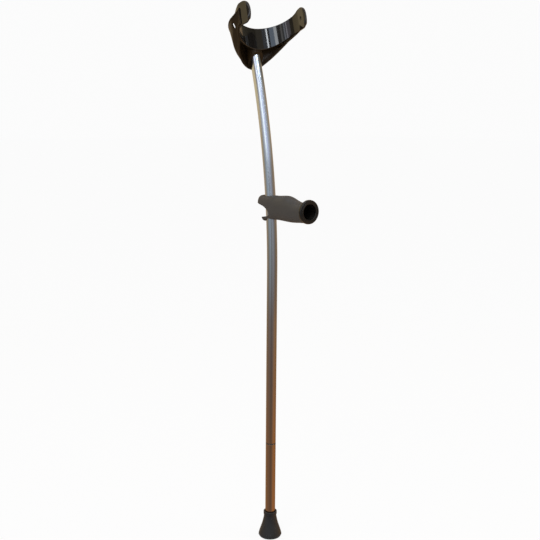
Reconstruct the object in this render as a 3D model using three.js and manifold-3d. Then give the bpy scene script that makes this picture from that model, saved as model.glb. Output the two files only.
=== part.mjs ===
// A forearm crutch: one long tube with a bent upper end, a moulded forearm cuff on top, a soft
// grip that points forward, and a leg that slides out of the tube and ends in a rubber ferrule.
// Millimetres, +Z up. The origin is the middle of the ferrule's foot. The grip and the open side
// of the cuff point forward, along -Y. The crutch is the same on both sides of the YZ plane.

import * as THREE from 'three';
import * as BufferGeometryUtils from 'three/addons/utils/BufferGeometryUtils.js';
import Module from 'manifold-3d';

const wasm = await Module();
wasm.setup();

// ---------------------------------------------------------------- driving dimensions

// Fits
const GAP = 0.3; // between two pieces that touch
const SLIDE_GAP = 0.2; // between pieces that slide on each other
const BEND_GAP = 0.6; // between a straight bore and the bent tube in it
const FACETS = 32; // sides of a tube

// Main tube: straight, then a long gentle bend back, then a short straight end in the cuff
const TUBE_R = 10;
const TUBE_WALL = 1.1;
const TUBE_BOTTOM = 200;
const BEND_START = 546;
const BEND_RADIUS = 1433;
const BEND_ANGLE = THREE.MathUtils.degToRad(15.5);
const TUBE_TAIL = 50; // straight end above the bend
const TOP_PLUG_START = 4; // lower end of the plug, above the bend

// Leg: an inner tube that runs up inside the main tube, with a sleeve of the main tube's diameter
const LEG_ROOM = 1.3; // between the leg and the main tube's bore, filled by the bush
const LEG_WALL = 1.2;
const LEG_TOP = 435;
const LEG_BOTTOM = 15;
const END_PLUG_LENGTH = 22;
const BUSH_FLANGE = 1.4;
const BUSH_LENGTH = 30; // inside the main tube
const GUIDE_LENGTH = 24;
const GUIDE_CAP = 4; // how far the guide stands above the leg
const SLEEVE_RIVET_R = 1.6;
const SLEEVE_RIVET_Z = 174;
const RIVET_HEAD_R = 3;
const RIVET_HEAD = 1.2;

// Height adjustment: one sprung button and a row of holes behind the main tube
const HOLE_COUNT = 7;
const HOLE_PITCH = 25;
const TOP_HOLE_Z = 400;
const BUTTON_R = 3;
const BUTTON_RIM = 0.9; // rim inside the leg that holds the button in
const BUTTON_PROUD = 2.4; // how far the button stands out of the main tube
const SPRING_WIDTH = 7;
const SPRING_THICKNESS = 0.9;
const SPRING_LENGTH = 30;
const BUTTON_PAD = 5; // straight end of the spring's arm behind the button
const SPRING_CLEAR = 1.7; // between the spring's arms and the leg's wall

// Ferrule
const FERRULE_HEIGHT = 54;
const FERRULE_FOOT_R = 23.3;
const FERRULE_WALL = 2.4; // rubber round the tube at the neck
const FERRULE_LIP = 1; // how far the collar stands out from the neck
const FERRULE_COLLAR = 6; // height of the collar at its top
const FERRULE_FLOOR = 12.5; // rubber under the washer
const FERRULE_EDGE = 3.5; // bevel round the foot
const WASHER_THICKNESS = 1.6;
const TREAD_RINGS = 2;
const TREAD_WIDTH = 1.6;
const TREAD_DEPTH = 1.2;
const WASHER_HOLE_R = 3;

// Grip and what carries it
const GRIP_Z = 671.5; // height of the grip's level axis
const GRIP_FRONT = 105.5; // front end of the soft grip, ahead of the tube's axis
const GRIP_REAR = 31; // end of the rear nose, behind the tube's axis
const GRIP_WALL = 2.8; // soft plastic at the sides of the core
const GRIP_ABOVE = 22; // top of the grip above its axis, at the tube
const GRIP_BELOW = 22.5;
const GRIP_CROWN_AT = 50; // highest place of the grip's top, ahead of the tube's axis
const GRIP_CROWN = 2.6;
const GRIP_NECK_START = 49; // the top falls away to the neck from here to the neck's end
const GRIP_NECK_END = 90;
const GRIP_NECK_DROP = 6.8;
const GRIP_SWELL_AT = 76; // middle of the palm swell under the grip
const GRIP_SWELL = 1.8;
const GRIP_SWELL_WIDTH = 22; // how far the crown and the swell spread along the grip
const GRIP_SQUARENESS = 0.8; // 1 is an oval section, less is squarer
const GRIP_REAR_SQUARENESS = 0.55;
const SQUARE_UP_TO = 12; // ahead of the tube's axis
const OVAL_FROM = 32;
const GRIP_NOSE_DROP = 5; // the rear nose's top falls by this much
const NOTCH_ROOF = 7; // underside of the rear nose, above the grip's axis
const GRIP_TAB = 9; // rear end of the tab under the notch, behind the tube's axis
const GRIP_TAB_DROP = 5;
const CORE_R = 14;
const CORE_WALL = 2.2;
const CORE_LIP = 0.6; // what is left of the core's wall at its flared mouth
const CORE_AHEAD = 5; // between the tube's front and the core's rear face
const RING_OVERHANG = 4; // how far the ring's mouth stands out past the core
const CORE_WEB = 6; // solid end of the core that the bolt pulls on
const END_RING_R = 22.2;
const END_RING_LENGTH = 8.5;
const END_RING_MOUTH_R = 14.6;
const RING_ROUND = 1.9; // size of the rounding on the ring's edges
const MOUTH_CONE = 12; // length of the core's flared mouth
const BOLT_R = 3;
const BOLT_HEAD_R = 5;
const BOLT_HEAD = 5.5;
const KEY_R = 2.9; // corner of the hexagon in the bolt's head
const BOLT_END = 5; // end of the bolt inside the tube, behind the tube's axis
const NUT_R = 5; // a barrel nut that lies across the tube's inside
const WASHER_R = 7.5;
const SADDLE_R = 9;
const SADDLE_DEPTH = 3; // how far the saddle reaches round the tube

// Cuff, in the frame of the tube's straight end: z along the tube, -y forward
const CUFF_HALF_WIDTH = 66;
const CUFF_HALF_DEPTH = 50;
const CUFF_WALL = 3.4;
const CUFF_SKIN = 3.2; // plastic between the tube's bore and the forearm
const CUFF_REACH = THREE.MathUtils.degToRad(119.5); // from the middle of the back to an ear's end
const EAR_TAPER = 0.14; // the ears close in by this much for each millimetre forward
const BAND_LOW = 31.5;
const BAND_LOW_RISE = 24;
const BAND_HIGH = 72.5;
const BAND_HIGH_RISE = 20;
const EAR_LIFT = 2.5; // the ears' tops rise this much above the band's sweep
const EAR_ROUND = 15; // length of the rounding at an ear's end
const EAR_BEAD = 7.4; // thickness of the bead at an ear's end
const EAR_BEAD_LENGTH = 8;
const BEAD_INSIDE = 0.3; // share of the bead that stands on the forearm's side
const DIMPLE_R = 3.6;
const DIMPLE_DEPTH = 1.4;
const DIMPLE_ANGLE = THREE.MathUtils.degToRad(100);
const DIMPLE_Z = 75;
const SCOOP_WALL = 3;
const SCOOP_FOOT_HALF_WIDTH = 42;
const SCOOP_SPREAD = 0.51; // half width gained for each millimetre of height
const SCOOP_FOOT_HALF_DEPTH = 15;
const SCOOP_DEEPENING = 0.8;
const SCOOP_REACH = THREE.MathUtils.degToRad(91.5);
const SCOOP_LOW = 1;
const SCOOP_LOW_RISE = 49;
const SCOOP_HIGH = 56.5;
const SCOOP_HIGH_RISE = 18.5;
const SCOOP_MERGE = THREE.MathUtils.degToRad(79); // the scoop runs into the band from here on
const CURL = 13; // the scoop's low edge curls in over this height
const CURL_IN = 6.4;
const CURL_FORWARD = 7;
const SLOT_AHEAD = 44; // middle of the slot in each side of the scoop
const SLOT_WIDTH = 6;
const SLOT_LOW = 56.5;
const SLOT_HIGH = 66;
const RIB_ANGLE = THREE.MathUtils.degToRad(46);
const RIB_Z = 47.5;
const RIB_HEIGHT = 15;
const RIB_WALL = 2.6;
const RIB_BITE = 0.9; // how far the ribs and the socket sink into the walls they join
const SOCKET_WALL = 5;
const SOCKET_LIP_FRONT = 28;
const SOCKET_LIP_BACK = 3;
const SOCKET_ROOF = 3.5;
const SCREW_R = 2;
const SCREW_HEAD_R = 4.2;
const SCREW_Z = 17;
const SCREW_SINK = 1; // how deep the screw's seat is cut into the socket

// ---------------------------------------------------------------- worked out from those

const TUBE_BORE_R = TUBE_R - TUBE_WALL;
const LEG_R = TUBE_BORE_R - LEG_ROOM;
const LEG_BORE_R = LEG_R - LEG_WALL;
const FERRULE_NECK_R = TUBE_R + FERRULE_WALL;
const FERRULE_COLLAR_R = FERRULE_NECK_R + FERRULE_LIP;
const CORE_START = TUBE_R + CORE_AHEAD; // rear face of the core, ahead of the tube's axis
const GRIP_HALF_WIDTH = CORE_R + GRIP_WALL;
const SOCKET_R = TUBE_R + SOCKET_WALL;
const SCREW_SEAT = SOCKET_R - SCREW_SINK; // where the screw's head bears, behind the tube's axis
const BEND_LENGTH = BEND_RADIUS * BEND_ANGLE;
const STRAIGHT_LENGTH = BEND_START - TUBE_BOTTOM;
const SEAM_Z = TUBE_BOTTOM - GAP - BUSH_FLANGE - GAP; // top of the leg's sleeve
const CUFF_BACK = TUBE_R + GAP + CUFF_SKIN; // inner face of the band, ahead of the tube's axis
const SCOOP_BACK = SOCKET_R - SCOOP_WALL / 2;

// ---------------------------------------------------------------- geometry helpers

// Merges shared vertices, drops collapsed triangles and turns every face outwards.
function closed(geometry) {
  const bare = geometry.clone();
  bare.deleteAttribute('normal');
  if (bare.hasAttribute('uv')) bare.deleteAttribute('uv');
  const merged = BufferGeometryUtils.mergeVertices(bare, 1e-4);
  const corners = merged.index.array;
  const kept = [];
  for (let i = 0; i < corners.length; i += 3) {
    const [a, b, c] = [corners[i], corners[i + 1], corners[i + 2]];
    if (a !== b && b !== c && c !== a) kept.push(a, b, c);
  }
  if (signedVolume(merged.attributes.position, kept) < 0) kept.reverse();
  merged.setIndex(kept);
  return merged;
}

function signedVolume(position, corners) {
  const [a, b, c] = [new THREE.Vector3(), new THREE.Vector3(), new THREE.Vector3()];
  let sum = 0;
  for (let i = 0; i < corners.length; i += 3) {
    a.fromBufferAttribute(position, corners[i]);
    b.fromBufferAttribute(position, corners[i + 1]);
    c.fromBufferAttribute(position, corners[i + 2]);
    sum += a.dot(b.cross(c)) / 6;
  }
  return sum;
}

function solid(geometry) {
  const { attributes, index } = closed(geometry);
  const mesh = new wasm.Mesh({
    numProp: 3,
    vertProperties: new Float32Array(attributes.position.array),
    triVerts: new Uint32Array(index.array),
  });
  return new wasm.Manifold(mesh);
}

function geometryOf(manifold) {
  const { vertProperties, triVerts } = manifold.getMesh();
  const geometry = new THREE.BufferGeometry();
  geometry.setAttribute('position', new THREE.BufferAttribute(vertProperties, 3));
  geometry.setIndex(new THREE.BufferAttribute(triVerts, 1));
  return geometry;
}

function join(first, ...others) {
  return geometryOf(others.reduce((sum, next) => sum.add(solid(next)), solid(first)));
}

function cut(body, ...tools) {
  return geometryOf(tools.reduce((sum, next) => sum.subtract(solid(next)), solid(body)));
}

// A turned piece about Z, from its half section as [radius, z] points.
function turned(profile, facets = FACETS) {
  const points = profile.map(([radius, z]) => new THREE.Vector2(radius, z));
  return new THREE.LatheGeometry(points, facets).rotateX(Math.PI / 2);
}

function rod(radius, from, to, facets = FACETS) {
  return turned([[0, from], [radius, from], [radius, to], [0, to]], facets);
}

function pipe(outer, inner, from, to, facets = FACETS) {
  return turned([[inner, from], [outer, from], [outer, to], [inner, to], [inner, from]], facets);
}

// Turns a piece made along +Z so that it points along +Y or -Y.
function backwards(geometry) {
  return geometry.rotateX(-Math.PI / 2);
}

function forwards(geometry) {
  return geometry.rotateX(Math.PI / 2);
}

function box(width, depth, height, x, y, z) {
  return new THREE.BoxGeometry(width, depth, height).translate(x, y, z);
}

function smooth(from, to, value) {
  return THREE.MathUtils.smoothstep(value, from, to);
}

// A curved plate between two faces. Each face is a function of s from -1 to 1 across the plate and
// of t from 0 to 1 up it.
function plate(nearFace, farFace, columns, rows) {
  const corners = [];
  const faces = [];
  for (const face of [nearFace, farFace]) {
    for (let i = 0; i <= columns; i += 1) {
      for (let j = 0; j <= rows; j += 1) {
        corners.push(...face((2 * i) / columns - 1, j / rows));
      }
    }
  }
  const far = (columns + 1) * (rows + 1);
  const at = (i, j) => i * (rows + 1) + j;
  const quad = (a, b, c, d) => faces.push(a, b, c, a, c, d);
  for (let i = 0; i < columns; i += 1) {
    for (let j = 0; j < rows; j += 1) {
      quad(at(i, j), at(i + 1, j), at(i + 1, j + 1), at(i, j + 1));
      quad(far + at(i, j), far + at(i, j + 1), far + at(i + 1, j + 1), far + at(i + 1, j));
    }
    quad(at(i, 0), far + at(i, 0), far + at(i + 1, 0), at(i + 1, 0));
    quad(at(i, rows), at(i + 1, rows), far + at(i + 1, rows), far + at(i, rows));
  }
  for (let j = 0; j < rows; j += 1) {
    quad(at(0, j), at(0, j + 1), far + at(0, j + 1), far + at(0, j));
    quad(at(columns, j), far + at(columns, j), far + at(columns, j + 1), at(columns, j + 1));
  }
  const geometry = new THREE.BufferGeometry();
  geometry.setAttribute('position', new THREE.Float32BufferAttribute(corners, 3));
  geometry.setIndex(faces);
  return geometry;
}

// ---------------------------------------------------------------- materials

const MATERIALS = {
  anodised: { color: 0x9fa8b4, roughness: 0.28, metalness: 0.9 },
  steel: { color: 0xa8abad, roughness: 0.35, metalness: 1 },
  cuffPlastic: { color: 0x262019, roughness: 0.25, metalness: 0 },
  softGrip: { color: 0x484543, roughness: 0.85, metalness: 0 },
  hardPlastic: { color: 0x141312, roughness: 0.4, metalness: 0 },
  nylon: { color: 0x3a3a3c, roughness: 0.5, metalness: 0 },
  rubber: { color: 0x222325, roughness: 0.8, metalness: 0 },
};

function piece(name, geometry, material) {
  const mesh = new THREE.Mesh(closed(geometry), new THREE.MeshStandardMaterial(MATERIALS[material]));
  mesh.name = name;
  return mesh;
}

// ---------------------------------------------------------------- main tube

// The main tube's axis, by its share of the length, from the lower end to the top.
class TubeAxis extends THREE.Curve {
  getPoint(share, target = new THREE.Vector3()) {
    return this.at(share * this.length(), target);
  }

  length() {
    return STRAIGHT_LENGTH + BEND_LENGTH + TUBE_TAIL;
  }

  at(distance, target) {
    if (distance <= STRAIGHT_LENGTH) return target.set(0, 0, TUBE_BOTTOM + distance);
    const turn = Math.min((distance - STRAIGHT_LENGTH) / BEND_RADIUS, BEND_ANGLE);
    const tail = Math.max(distance - STRAIGHT_LENGTH - BEND_LENGTH, 0);
    const y = BEND_RADIUS * (1 - Math.cos(turn)) + tail * Math.sin(turn);
    const z = BEND_START + BEND_RADIUS * Math.sin(turn) + tail * Math.cos(turn);
    return target.set(0, y, z);
  }
}

// Where the tube's axis is at a height on the bend, and how far it leans back there.
function bendAt(height) {
  const lean = Math.asin((height - BEND_START) / BEND_RADIUS);
  return { y: BEND_RADIUS * (1 - Math.cos(lean)), lean };
}

function ringShape(outer, inner) {
  const shape = new THREE.Shape().absarc(0, 0, outer, 0, 2 * Math.PI);
  shape.holes.push(new THREE.Path().absarc(0, 0, inner, 0, 2 * Math.PI, true));
  return shape;
}

function mainTube() {
  const tube = new THREE.ExtrudeGeometry(ringShape(TUBE_R, TUBE_BORE_R), {
    steps: 18,
    curveSegments: FACETS / 2,
    extrudePath: new TubeAxis(),
  });
  const holes = [];
  for (let i = 0; i < HOLE_COUNT; i += 1) {
    const drill = backwards(rod(BUTTON_R + GAP, 0, TUBE_R + 1, 20));
    holes.push(drill.translate(0, 0, TOP_HOLE_Z - i * HOLE_PITCH));
  }
  const grip = gripPlace();
  const boltHole = forwards(rod(BOLT_R + GAP, 0, TUBE_R * 2, 20));
  const screwHole = backwards(rod(SCREW_R + GAP, 0, TUBE_R + 2, 16)).translate(0, 0, SCREW_Z);
  return cut(tube, ...holes, moved(boltHole, grip), moved(screwHole, cuffPlace()));
}

function topPlug() {
  const plug = rod(TUBE_BORE_R - GAP, TOP_PLUG_START, TUBE_TAIL);
  return cut(plug, backwards(rod(SCREW_R + GAP, -TUBE_R, TUBE_R, 16)).translate(0, 0, SCREW_Z));
}

// ---------------------------------------------------------------- places on the tube

function place(x, y, z, tilt) {
  const group = new THREE.Group();
  group.position.set(x, y, z);
  group.rotation.x = tilt;
  group.updateMatrixWorld();
  return group;
}

function gripPlace() {
  return place(0, bendAt(GRIP_Z).y, GRIP_Z, 0);
}

function cuffPlace() {
  const top = new THREE.Vector3();
  new TubeAxis().at(STRAIGHT_LENGTH + BEND_LENGTH, top);
  return place(0, top.y, top.z, -BEND_ANGLE);
}

function moved(geometry, group) {
  return geometry.applyMatrix4(group.matrixWorld);
}

// ---------------------------------------------------------------- grip

// Outline of the soft grip at a distance ahead of the tube's axis: half width, top and bottom.
function gripSection(ahead) {
  const hump = (middle) => Math.exp(-(((ahead - middle) / GRIP_SWELL_WIDTH) ** 2));
  const nose = smooth(GRIP_REAR * 0.4, GRIP_REAR, -ahead);
  const neck = smooth(GRIP_NECK_START, GRIP_NECK_END, ahead);
  const back = Math.sqrt(Math.max(1 - (Math.max(-ahead, 0) / (GRIP_REAR + 0.2)) ** 4, 0.02));
  const tab = smooth(-6, GRIP_TAB, -ahead);
  return {
    half: (GRIP_HALF_WIDTH + 0.6 * hump(GRIP_SWELL_AT) - 0.8 * neck) * back,
    top: GRIP_ABOVE + GRIP_CROWN * hump(GRIP_CROWN_AT) - GRIP_NECK_DROP * neck
      - GRIP_NOSE_DROP * nose * nose,
    bottom: -GRIP_BELOW - GRIP_SWELL * hump(GRIP_SWELL_AT) + 2 * neck - GRIP_TAB_DROP * tab,
  };
}

// Pulls a circle's coordinate outwards, which makes the section squarer, most of all at the rear.
function squared(coordinate, ahead) {
  const oval = smooth(SQUARE_UP_TO, OVAL_FROM, ahead);
  const power = GRIP_REAR_SQUARENESS + (GRIP_SQUARENESS - GRIP_REAR_SQUARENESS) * oval;
  return Math.sign(coordinate) * Math.abs(coordinate) ** power;
}

function gripBody() {
  const stations = 30;
  const around = 32;
  const corners = [];
  const faces = [];
  for (let i = 0; i <= stations; i += 1) {
    const share = 0.5 - 0.5 * Math.cos((Math.PI * i) / stations);
    const ahead = -GRIP_REAR + share * (GRIP_FRONT + GRIP_REAR);
    const { half, top, bottom } = gripSection(ahead);
    for (let j = 0; j < around; j += 1) {
      const angle = (2 * Math.PI * j) / around;
      const x = half * squared(Math.cos(angle), ahead);
      const up = squared(Math.sin(angle), ahead);
      const middle = (top + bottom) / 2;
      corners.push(x, -ahead, middle + (up * (top - bottom)) / 2);
    }
  }
  for (let i = 0; i < stations; i += 1) {
    for (let j = 0; j < around; j += 1) {
      const next = (j + 1) % around;
      const [a, b] = [i * around + j, i * around + next];
      faces.push(a, b, b + around, a, b + around, a + around);
    }
  }
  for (let j = 1; j < around - 1; j += 1) {
    faces.push(0, j + 1, j);
    faces.push(stations * around, stations * around + j, stations * around + j + 1);
  }
  const geometry = new THREE.BufferGeometry();
  geometry.setAttribute('position', new THREE.Float32BufferAttribute(corners, 3));
  geometry.setIndex(faces);
  return geometry;
}

// The tube's run through the grip, as a rod about the tube's axis in the grip's frame.
function tubeThroughGrip(radius) {
  return rod(radius, -GRIP_FRONT, GRIP_FRONT).rotateX(-bendAt(GRIP_Z).lean);
}

// The open notch behind the tube, between the rear nose and the lower tab.
function rearNotch() {
  const behind = -1.3 * GRIP_REAR;
  const under = -2 * GRIP_BELOW;
  const outline = new THREE.Shape().moveTo(behind, NOTCH_ROOF).lineTo(-GRIP_REAR, NOTCH_ROOF);
  const inner = [
    [-16, 4.5],
    [-2, 1],
    [TUBE_R - 1, -5.5],
    [TUBE_R + 2.5, -11],
    [TUBE_R - 1, -15.5],
    [0, -17.5],
    [-GRIP_TAB, -19],
  ];
  outline.splineThru(inner.map(([ahead, z]) => new THREE.Vector2(ahead, z)));
  outline.lineTo(-GRIP_TAB, under).lineTo(behind, under);
  const depth = 4 * GRIP_HALF_WIDTH;
  const notch = new THREE.ExtrudeGeometry(outline, { depth, bevelEnabled: false, curveSegments: 4 });
  return notch.translate(0, 0, -depth / 2).rotateX(Math.PI / 2).rotateZ(-Math.PI / 2);
}

function softGrip() {
  const bore = forwards(rod(CORE_R + GAP, CORE_START - GAP, GRIP_FRONT + 5));
  const passage = tubeThroughGrip(TUBE_R + BEND_GAP);
  const saddleSeat = forwards(rod(SADDLE_R + GAP, 0, CORE_START + 1));
  return cut(gripBody(), bore, passage, rearNotch(), saddleSeat);
}

function gripCore() {
  const end = GRIP_FRONT + END_RING_LENGTH;
  const inner = CORE_R - CORE_WALL;
  const profile = [
    [BOLT_R + GAP, CORE_START],
    [CORE_R, CORE_START],
    [CORE_R, end - RING_OVERHANG],
    [CORE_R - CORE_LIP, end - RING_OVERHANG],
    [inner, end - RING_OVERHANG - MOUTH_CONE],
    [inner, CORE_START + CORE_WEB],
    [BOLT_R + GAP, CORE_START + CORE_WEB],
    [BOLT_R + GAP, CORE_START],
  ];
  return forwards(turned(profile));
}

function endRing() {
  const start = GRIP_FRONT + GAP;
  const end = start + END_RING_LENGTH;
  const hub = CORE_R + GAP;
  const profile = [
    [hub, start],
    [END_RING_R - 2 * RING_ROUND, start],
    [END_RING_R - RING_ROUND * 0.4, start + RING_ROUND],
    [END_RING_R, start + 2 * RING_ROUND],
    [END_RING_R - RING_ROUND * 0.4, end - RING_ROUND * 0.8],
    [END_RING_R - RING_ROUND * 1.4, end],
    [END_RING_MOUTH_R + RING_ROUND * 0.6, end],
    [END_RING_MOUTH_R, end - RING_ROUND * 0.6],
    [hub, end - RING_ROUND * 1.6],
    [hub, start],
  ];
  return forwards(turned(profile, 56));
}

// A cap screw: its shank runs back through the core's web and the tube's front into the nut.
function gripBolt() {
  const seat = CORE_START + CORE_WEB + GAP + WASHER_THICKNESS + GAP;
  const profile = [
    [0, -BOLT_END],
    [BOLT_R, -BOLT_END],
    [BOLT_R, seat],
    [BOLT_HEAD_R, seat],
    [BOLT_HEAD_R, seat + BOLT_HEAD],
    [0, seat + BOLT_HEAD],
  ];
  const socket = new THREE.CylinderGeometry(KEY_R, KEY_R, BOLT_HEAD, 6).rotateX(Math.PI / 2);
  return cut(forwards(turned(profile, 28)), socket.translate(0, -seat - BOLT_HEAD, 0));
}

function gripWasher() {
  const seat = CORE_START + CORE_WEB + GAP;
  return forwards(pipe(WASHER_R, BOLT_R + GAP, seat, seat + WASHER_THICKNESS, 28));
}

// A plastic saddle between the tube and the core, hollowed to the tube's round.
function gripSaddle() {
  const block = forwards(pipe(SADDLE_R, BOLT_R + GAP, TUBE_R - SADDLE_DEPTH, CORE_START - GAP, 32));
  return cut(block, tubeThroughGrip(TUBE_R + GAP));
}

// The barrel nut fills the tube from front to back, so that the bolt can't crush the tube.
function gripNut() {
  const end = Math.sqrt(TUBE_BORE_R ** 2 - NUT_R ** 2) - GAP - NUT_R * Math.sin(bendAt(GRIP_Z).lean);
  return forwards(pipe(NUT_R, BOLT_R + GAP, -end, end, 24));
}

// ---------------------------------------------------------------- cuff

// The band's inner face is half an ellipse, seen along the tube, and runs on forward into nearly
// straight ears. Angle 0 is the middle of the back.
function bandPoint(angle, outwards) {
  const round = THREE.MathUtils.clamp(angle, -Math.PI / 2, Math.PI / 2);
  const straight = CUFF_HALF_DEPTH * (Math.abs(angle) - Math.abs(round));
  const x = CUFF_HALF_WIDTH * Math.sin(round) - Math.sign(angle) * EAR_TAPER * straight;
  const ahead = CUFF_BACK + CUFF_HALF_DEPTH * (1 - Math.cos(round)) + straight;
  const normal = new THREE.Vector2(
    CUFF_HALF_DEPTH * Math.sin(round),
    -CUFF_HALF_WIDTH * Math.cos(round),
  ).normalize();
  return [x + normal.x * outwards, ahead + normal.y * outwards];
}

// How far a place on the band is from the ear's end, along the band.
function fromEnd(angle) {
  return (CUFF_REACH - Math.abs(angle)) * CUFF_HALF_DEPTH;
}

function bandHeights(angle) {
  const round = Math.min(Math.abs(angle), Math.PI / 2);
  const low = BAND_LOW + BAND_LOW_RISE * Math.sin(round) ** 2;
  const lift = EAR_LIFT * smooth(Math.PI / 2.4, Math.PI / 1.8, Math.abs(angle));
  const high = BAND_HIGH + BAND_HIGH_RISE * (1 - Math.cos(round)) + lift;
  const left = Math.min(fromEnd(angle) / EAR_ROUND, 1);
  const shrink = Math.max(Math.sqrt(1 - (1 - left) ** 2), 0.12);
  const middle = (low + high) / 2;
  return [middle - ((high - low) / 2) * shrink, middle + ((high - low) / 2) * shrink];
}

function band() {
  const angleAt = (s) => CUFF_REACH * Math.sin((s * Math.PI) / 2);
  const thickness = (angle) => {
    const bead = smooth(EAR_BEAD_LENGTH, EAR_BEAD_LENGTH * 0.35, fromEnd(angle));
    const tip = smooth(0, CUFF_WALL, fromEnd(angle));
    return [(EAR_BEAD - CUFF_WALL) * bead, 0.6 + 0.4 * tip];
  };
  const face = (outwards) => (s, t) => {
    const angle = angleAt(s);
    const [low, high] = bandHeights(angle);
    const [bead, slimmer] = thickness(angle);
    const middle = CUFF_WALL / 2 + bead * (0.5 - BEAD_INSIDE);
    const half = ((CUFF_WALL + bead) / 2) * slimmer;
    const [x, ahead] = bandPoint(angle, middle + (outwards ? half : -half));
    return [x, -ahead, low + t * (high - low)];
  };
  return plate(face(false), face(true), 60, 6);
}

// The scoop is the outer wall: it runs from ear to ear behind the tube, narrows downwards, and
// closes in on the band towards the ears.
function scoopPoint(angle, height, inwards) {
  const halfWidth = SCOOP_FOOT_HALF_WIDTH + SCOOP_SPREAD * height - inwards;
  const halfDepth = SCOOP_FOOT_HALF_DEPTH + SCOOP_DEEPENING * height - inwards;
  const x = halfWidth * Math.sin(angle);
  const ahead = -SCOOP_BACK + inwards + halfDepth * (1 - Math.cos(angle));
  const [bandX, bandAhead] = bandPoint(angle, CUFF_WALL + SCOOP_WALL - 1 - inwards);
  const merged = smooth(SCOOP_MERGE, SCOOP_REACH, Math.abs(angle));
  const curl = smooth(CURL, 0, height - scoopHeights(angle)[0]) * Math.sin(angle) ** 2 * (1 - merged);
  const curledX = x - Math.sign(angle) * CURL_IN * curl;
  const curledAhead = ahead + CURL_FORWARD * curl;
  return [
    curledX + (bandX - curledX) * merged,
    -curledAhead - (bandAhead - curledAhead) * merged,
    height,
  ];
}

// Low and high edges of the scoop at an angle.
function scoopHeights(angle) {
  const low = SCOOP_LOW + SCOOP_LOW_RISE * (1 - Math.cos(angle));
  const high = SCOOP_HIGH + SCOOP_HIGH_RISE * Math.sin(angle) ** 2;
  const merged = smooth(SCOOP_MERGE, SCOOP_REACH, Math.abs(angle));
  const [bandLow, bandHigh] = bandHeights(angle);
  return [
    low + (Math.max(bandLow + 2, low) - low) * merged,
    high + (bandHigh - 8 - high) * merged,
  ];
}

function scoop() {
  const face = (inwards) => (s, t) => {
    const [low, high] = scoopHeights(SCOOP_REACH * s);
    return scoopPoint(SCOOP_REACH * s, low + t * (high - low), inwards);
  };
  return cut(plate(face(SCOOP_WALL), face(0), 48, 9), scoopSlot(-1), scoopSlot(1));
}

// A slot with round ends through one side of the scoop, behind the ear.
function scoopSlot(side) {
  const radius = SLOT_WIDTH / 2;
  const outline = new THREE.Shape();
  outline.absarc(0, SLOT_HIGH - radius, radius, 0, Math.PI);
  outline.absarc(0, SLOT_LOW + radius, radius, Math.PI, 2 * Math.PI);
  const depth = CUFF_HALF_WIDTH;
  const slot = new THREE.ExtrudeGeometry(outline, { depth, bevelEnabled: false, curveSegments: 8 });
  const start = side > 0 ? depth / 2 : -depth * 1.5;
  return slot.rotateX(Math.PI / 2).rotateZ(Math.PI / 2).translate(start, -SLOT_AHEAD, 0);
}

// The boss that the tube pushes into. Its front stops at the band, and its lip slopes up forward.
function socket() {
  const top = TUBE_TAIL + GAP + SOCKET_ROOF;
  const boss = rod(SOCKET_R, SOCKET_LIP_BACK - 2, top);
  const room = 4 * SOCKET_R;
  const front = box(room, room, 2 * top, 0, -CUFF_BACK + GAP - room / 2, top / 2);
  const slope = Math.atan2(SOCKET_LIP_FRONT - SOCKET_LIP_BACK, 2 * SOCKET_R);
  const under = box(room, 2 * room, room, 0, 0, -room / 2).rotateX(-slope);
  const middle = (SOCKET_LIP_FRONT + SOCKET_LIP_BACK) / 2;
  return cut(boss, front, under.translate(0, 0, middle));
}

// A rib on each side ties the band to the scoop.
function rib(side) {
  const [x, ahead] = bandPoint(side * RIB_ANGLE, CUFF_WALL - RIB_BITE);
  const [farX, farY] = scoopPoint(side * RIB_ANGLE * 1.13, RIB_Z, RIB_BITE);
  const length = Math.hypot(farX - x, farY + ahead);
  const turn = Math.atan2(farY + ahead, farX - x);
  const bar = box(length, RIB_WALL, RIB_HEIGHT, length / 2, 0, 0).rotateZ(turn);
  return bar.translate(x, -ahead, RIB_Z);
}

function dimple(side) {
  const [x, ahead] = bandPoint(side * DIMPLE_ANGLE, 0);
  const drill = new THREE.CylinderGeometry(DIMPLE_R, DIMPLE_R, 2 * DIMPLE_DEPTH, 24);
  return drill.rotateZ(Math.PI / 2).translate(x, -ahead, DIMPLE_Z);
}

function cuff() {
  const body = join(band(), scoop(), socket(), rib(-1), rib(1));
  const bore = rod(TUBE_R + GAP, -TUBE_TAIL, TUBE_TAIL + GAP);
  const out = 2 * SOCKET_R;
  const screwWay = backwards(rod(SCREW_R + GAP, 0, out, 16)).translate(0, 0, SCREW_Z);
  const screwSeat = backwards(rod(SCREW_HEAD_R + GAP, SCREW_SEAT, out, 24)).translate(0, 0, SCREW_Z);
  return cut(body, bore, screwWay, screwSeat, dimple(-1), dimple(1));
}

function cuffScrew() {
  const seat = SCREW_SEAT + GAP;
  const profile = [
    [0, SCREW_R],
    [SCREW_R, 2 * SCREW_R], // a blunt point
    [SCREW_R, seat],
    [SCREW_HEAD_R, seat],
    [SCREW_HEAD_R, seat + 1.2],
    [SCREW_HEAD_R * 0.7, seat + 2.6],
    [0, seat + 2.8],
  ];
  return backwards(turned(profile, 24)).translate(0, 0, SCREW_Z);
}

// ---------------------------------------------------------------- leg

function lowerBush() {
  const bore = LEG_R + SLIDE_GAP;
  const profile = [
    [bore, TUBE_BOTTOM - GAP - BUSH_FLANGE],
    [TUBE_R, TUBE_BOTTOM - GAP - BUSH_FLANGE],
    [TUBE_R, TUBE_BOTTOM - GAP],
    [TUBE_BORE_R - SLIDE_GAP, TUBE_BOTTOM - GAP],
    [TUBE_BORE_R - SLIDE_GAP, TUBE_BOTTOM + BUSH_LENGTH],
    [bore, TUBE_BOTTOM + BUSH_LENGTH],
    [bore, TUBE_BOTTOM - GAP - BUSH_FLANGE],
  ];
  return turned(profile);
}

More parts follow.
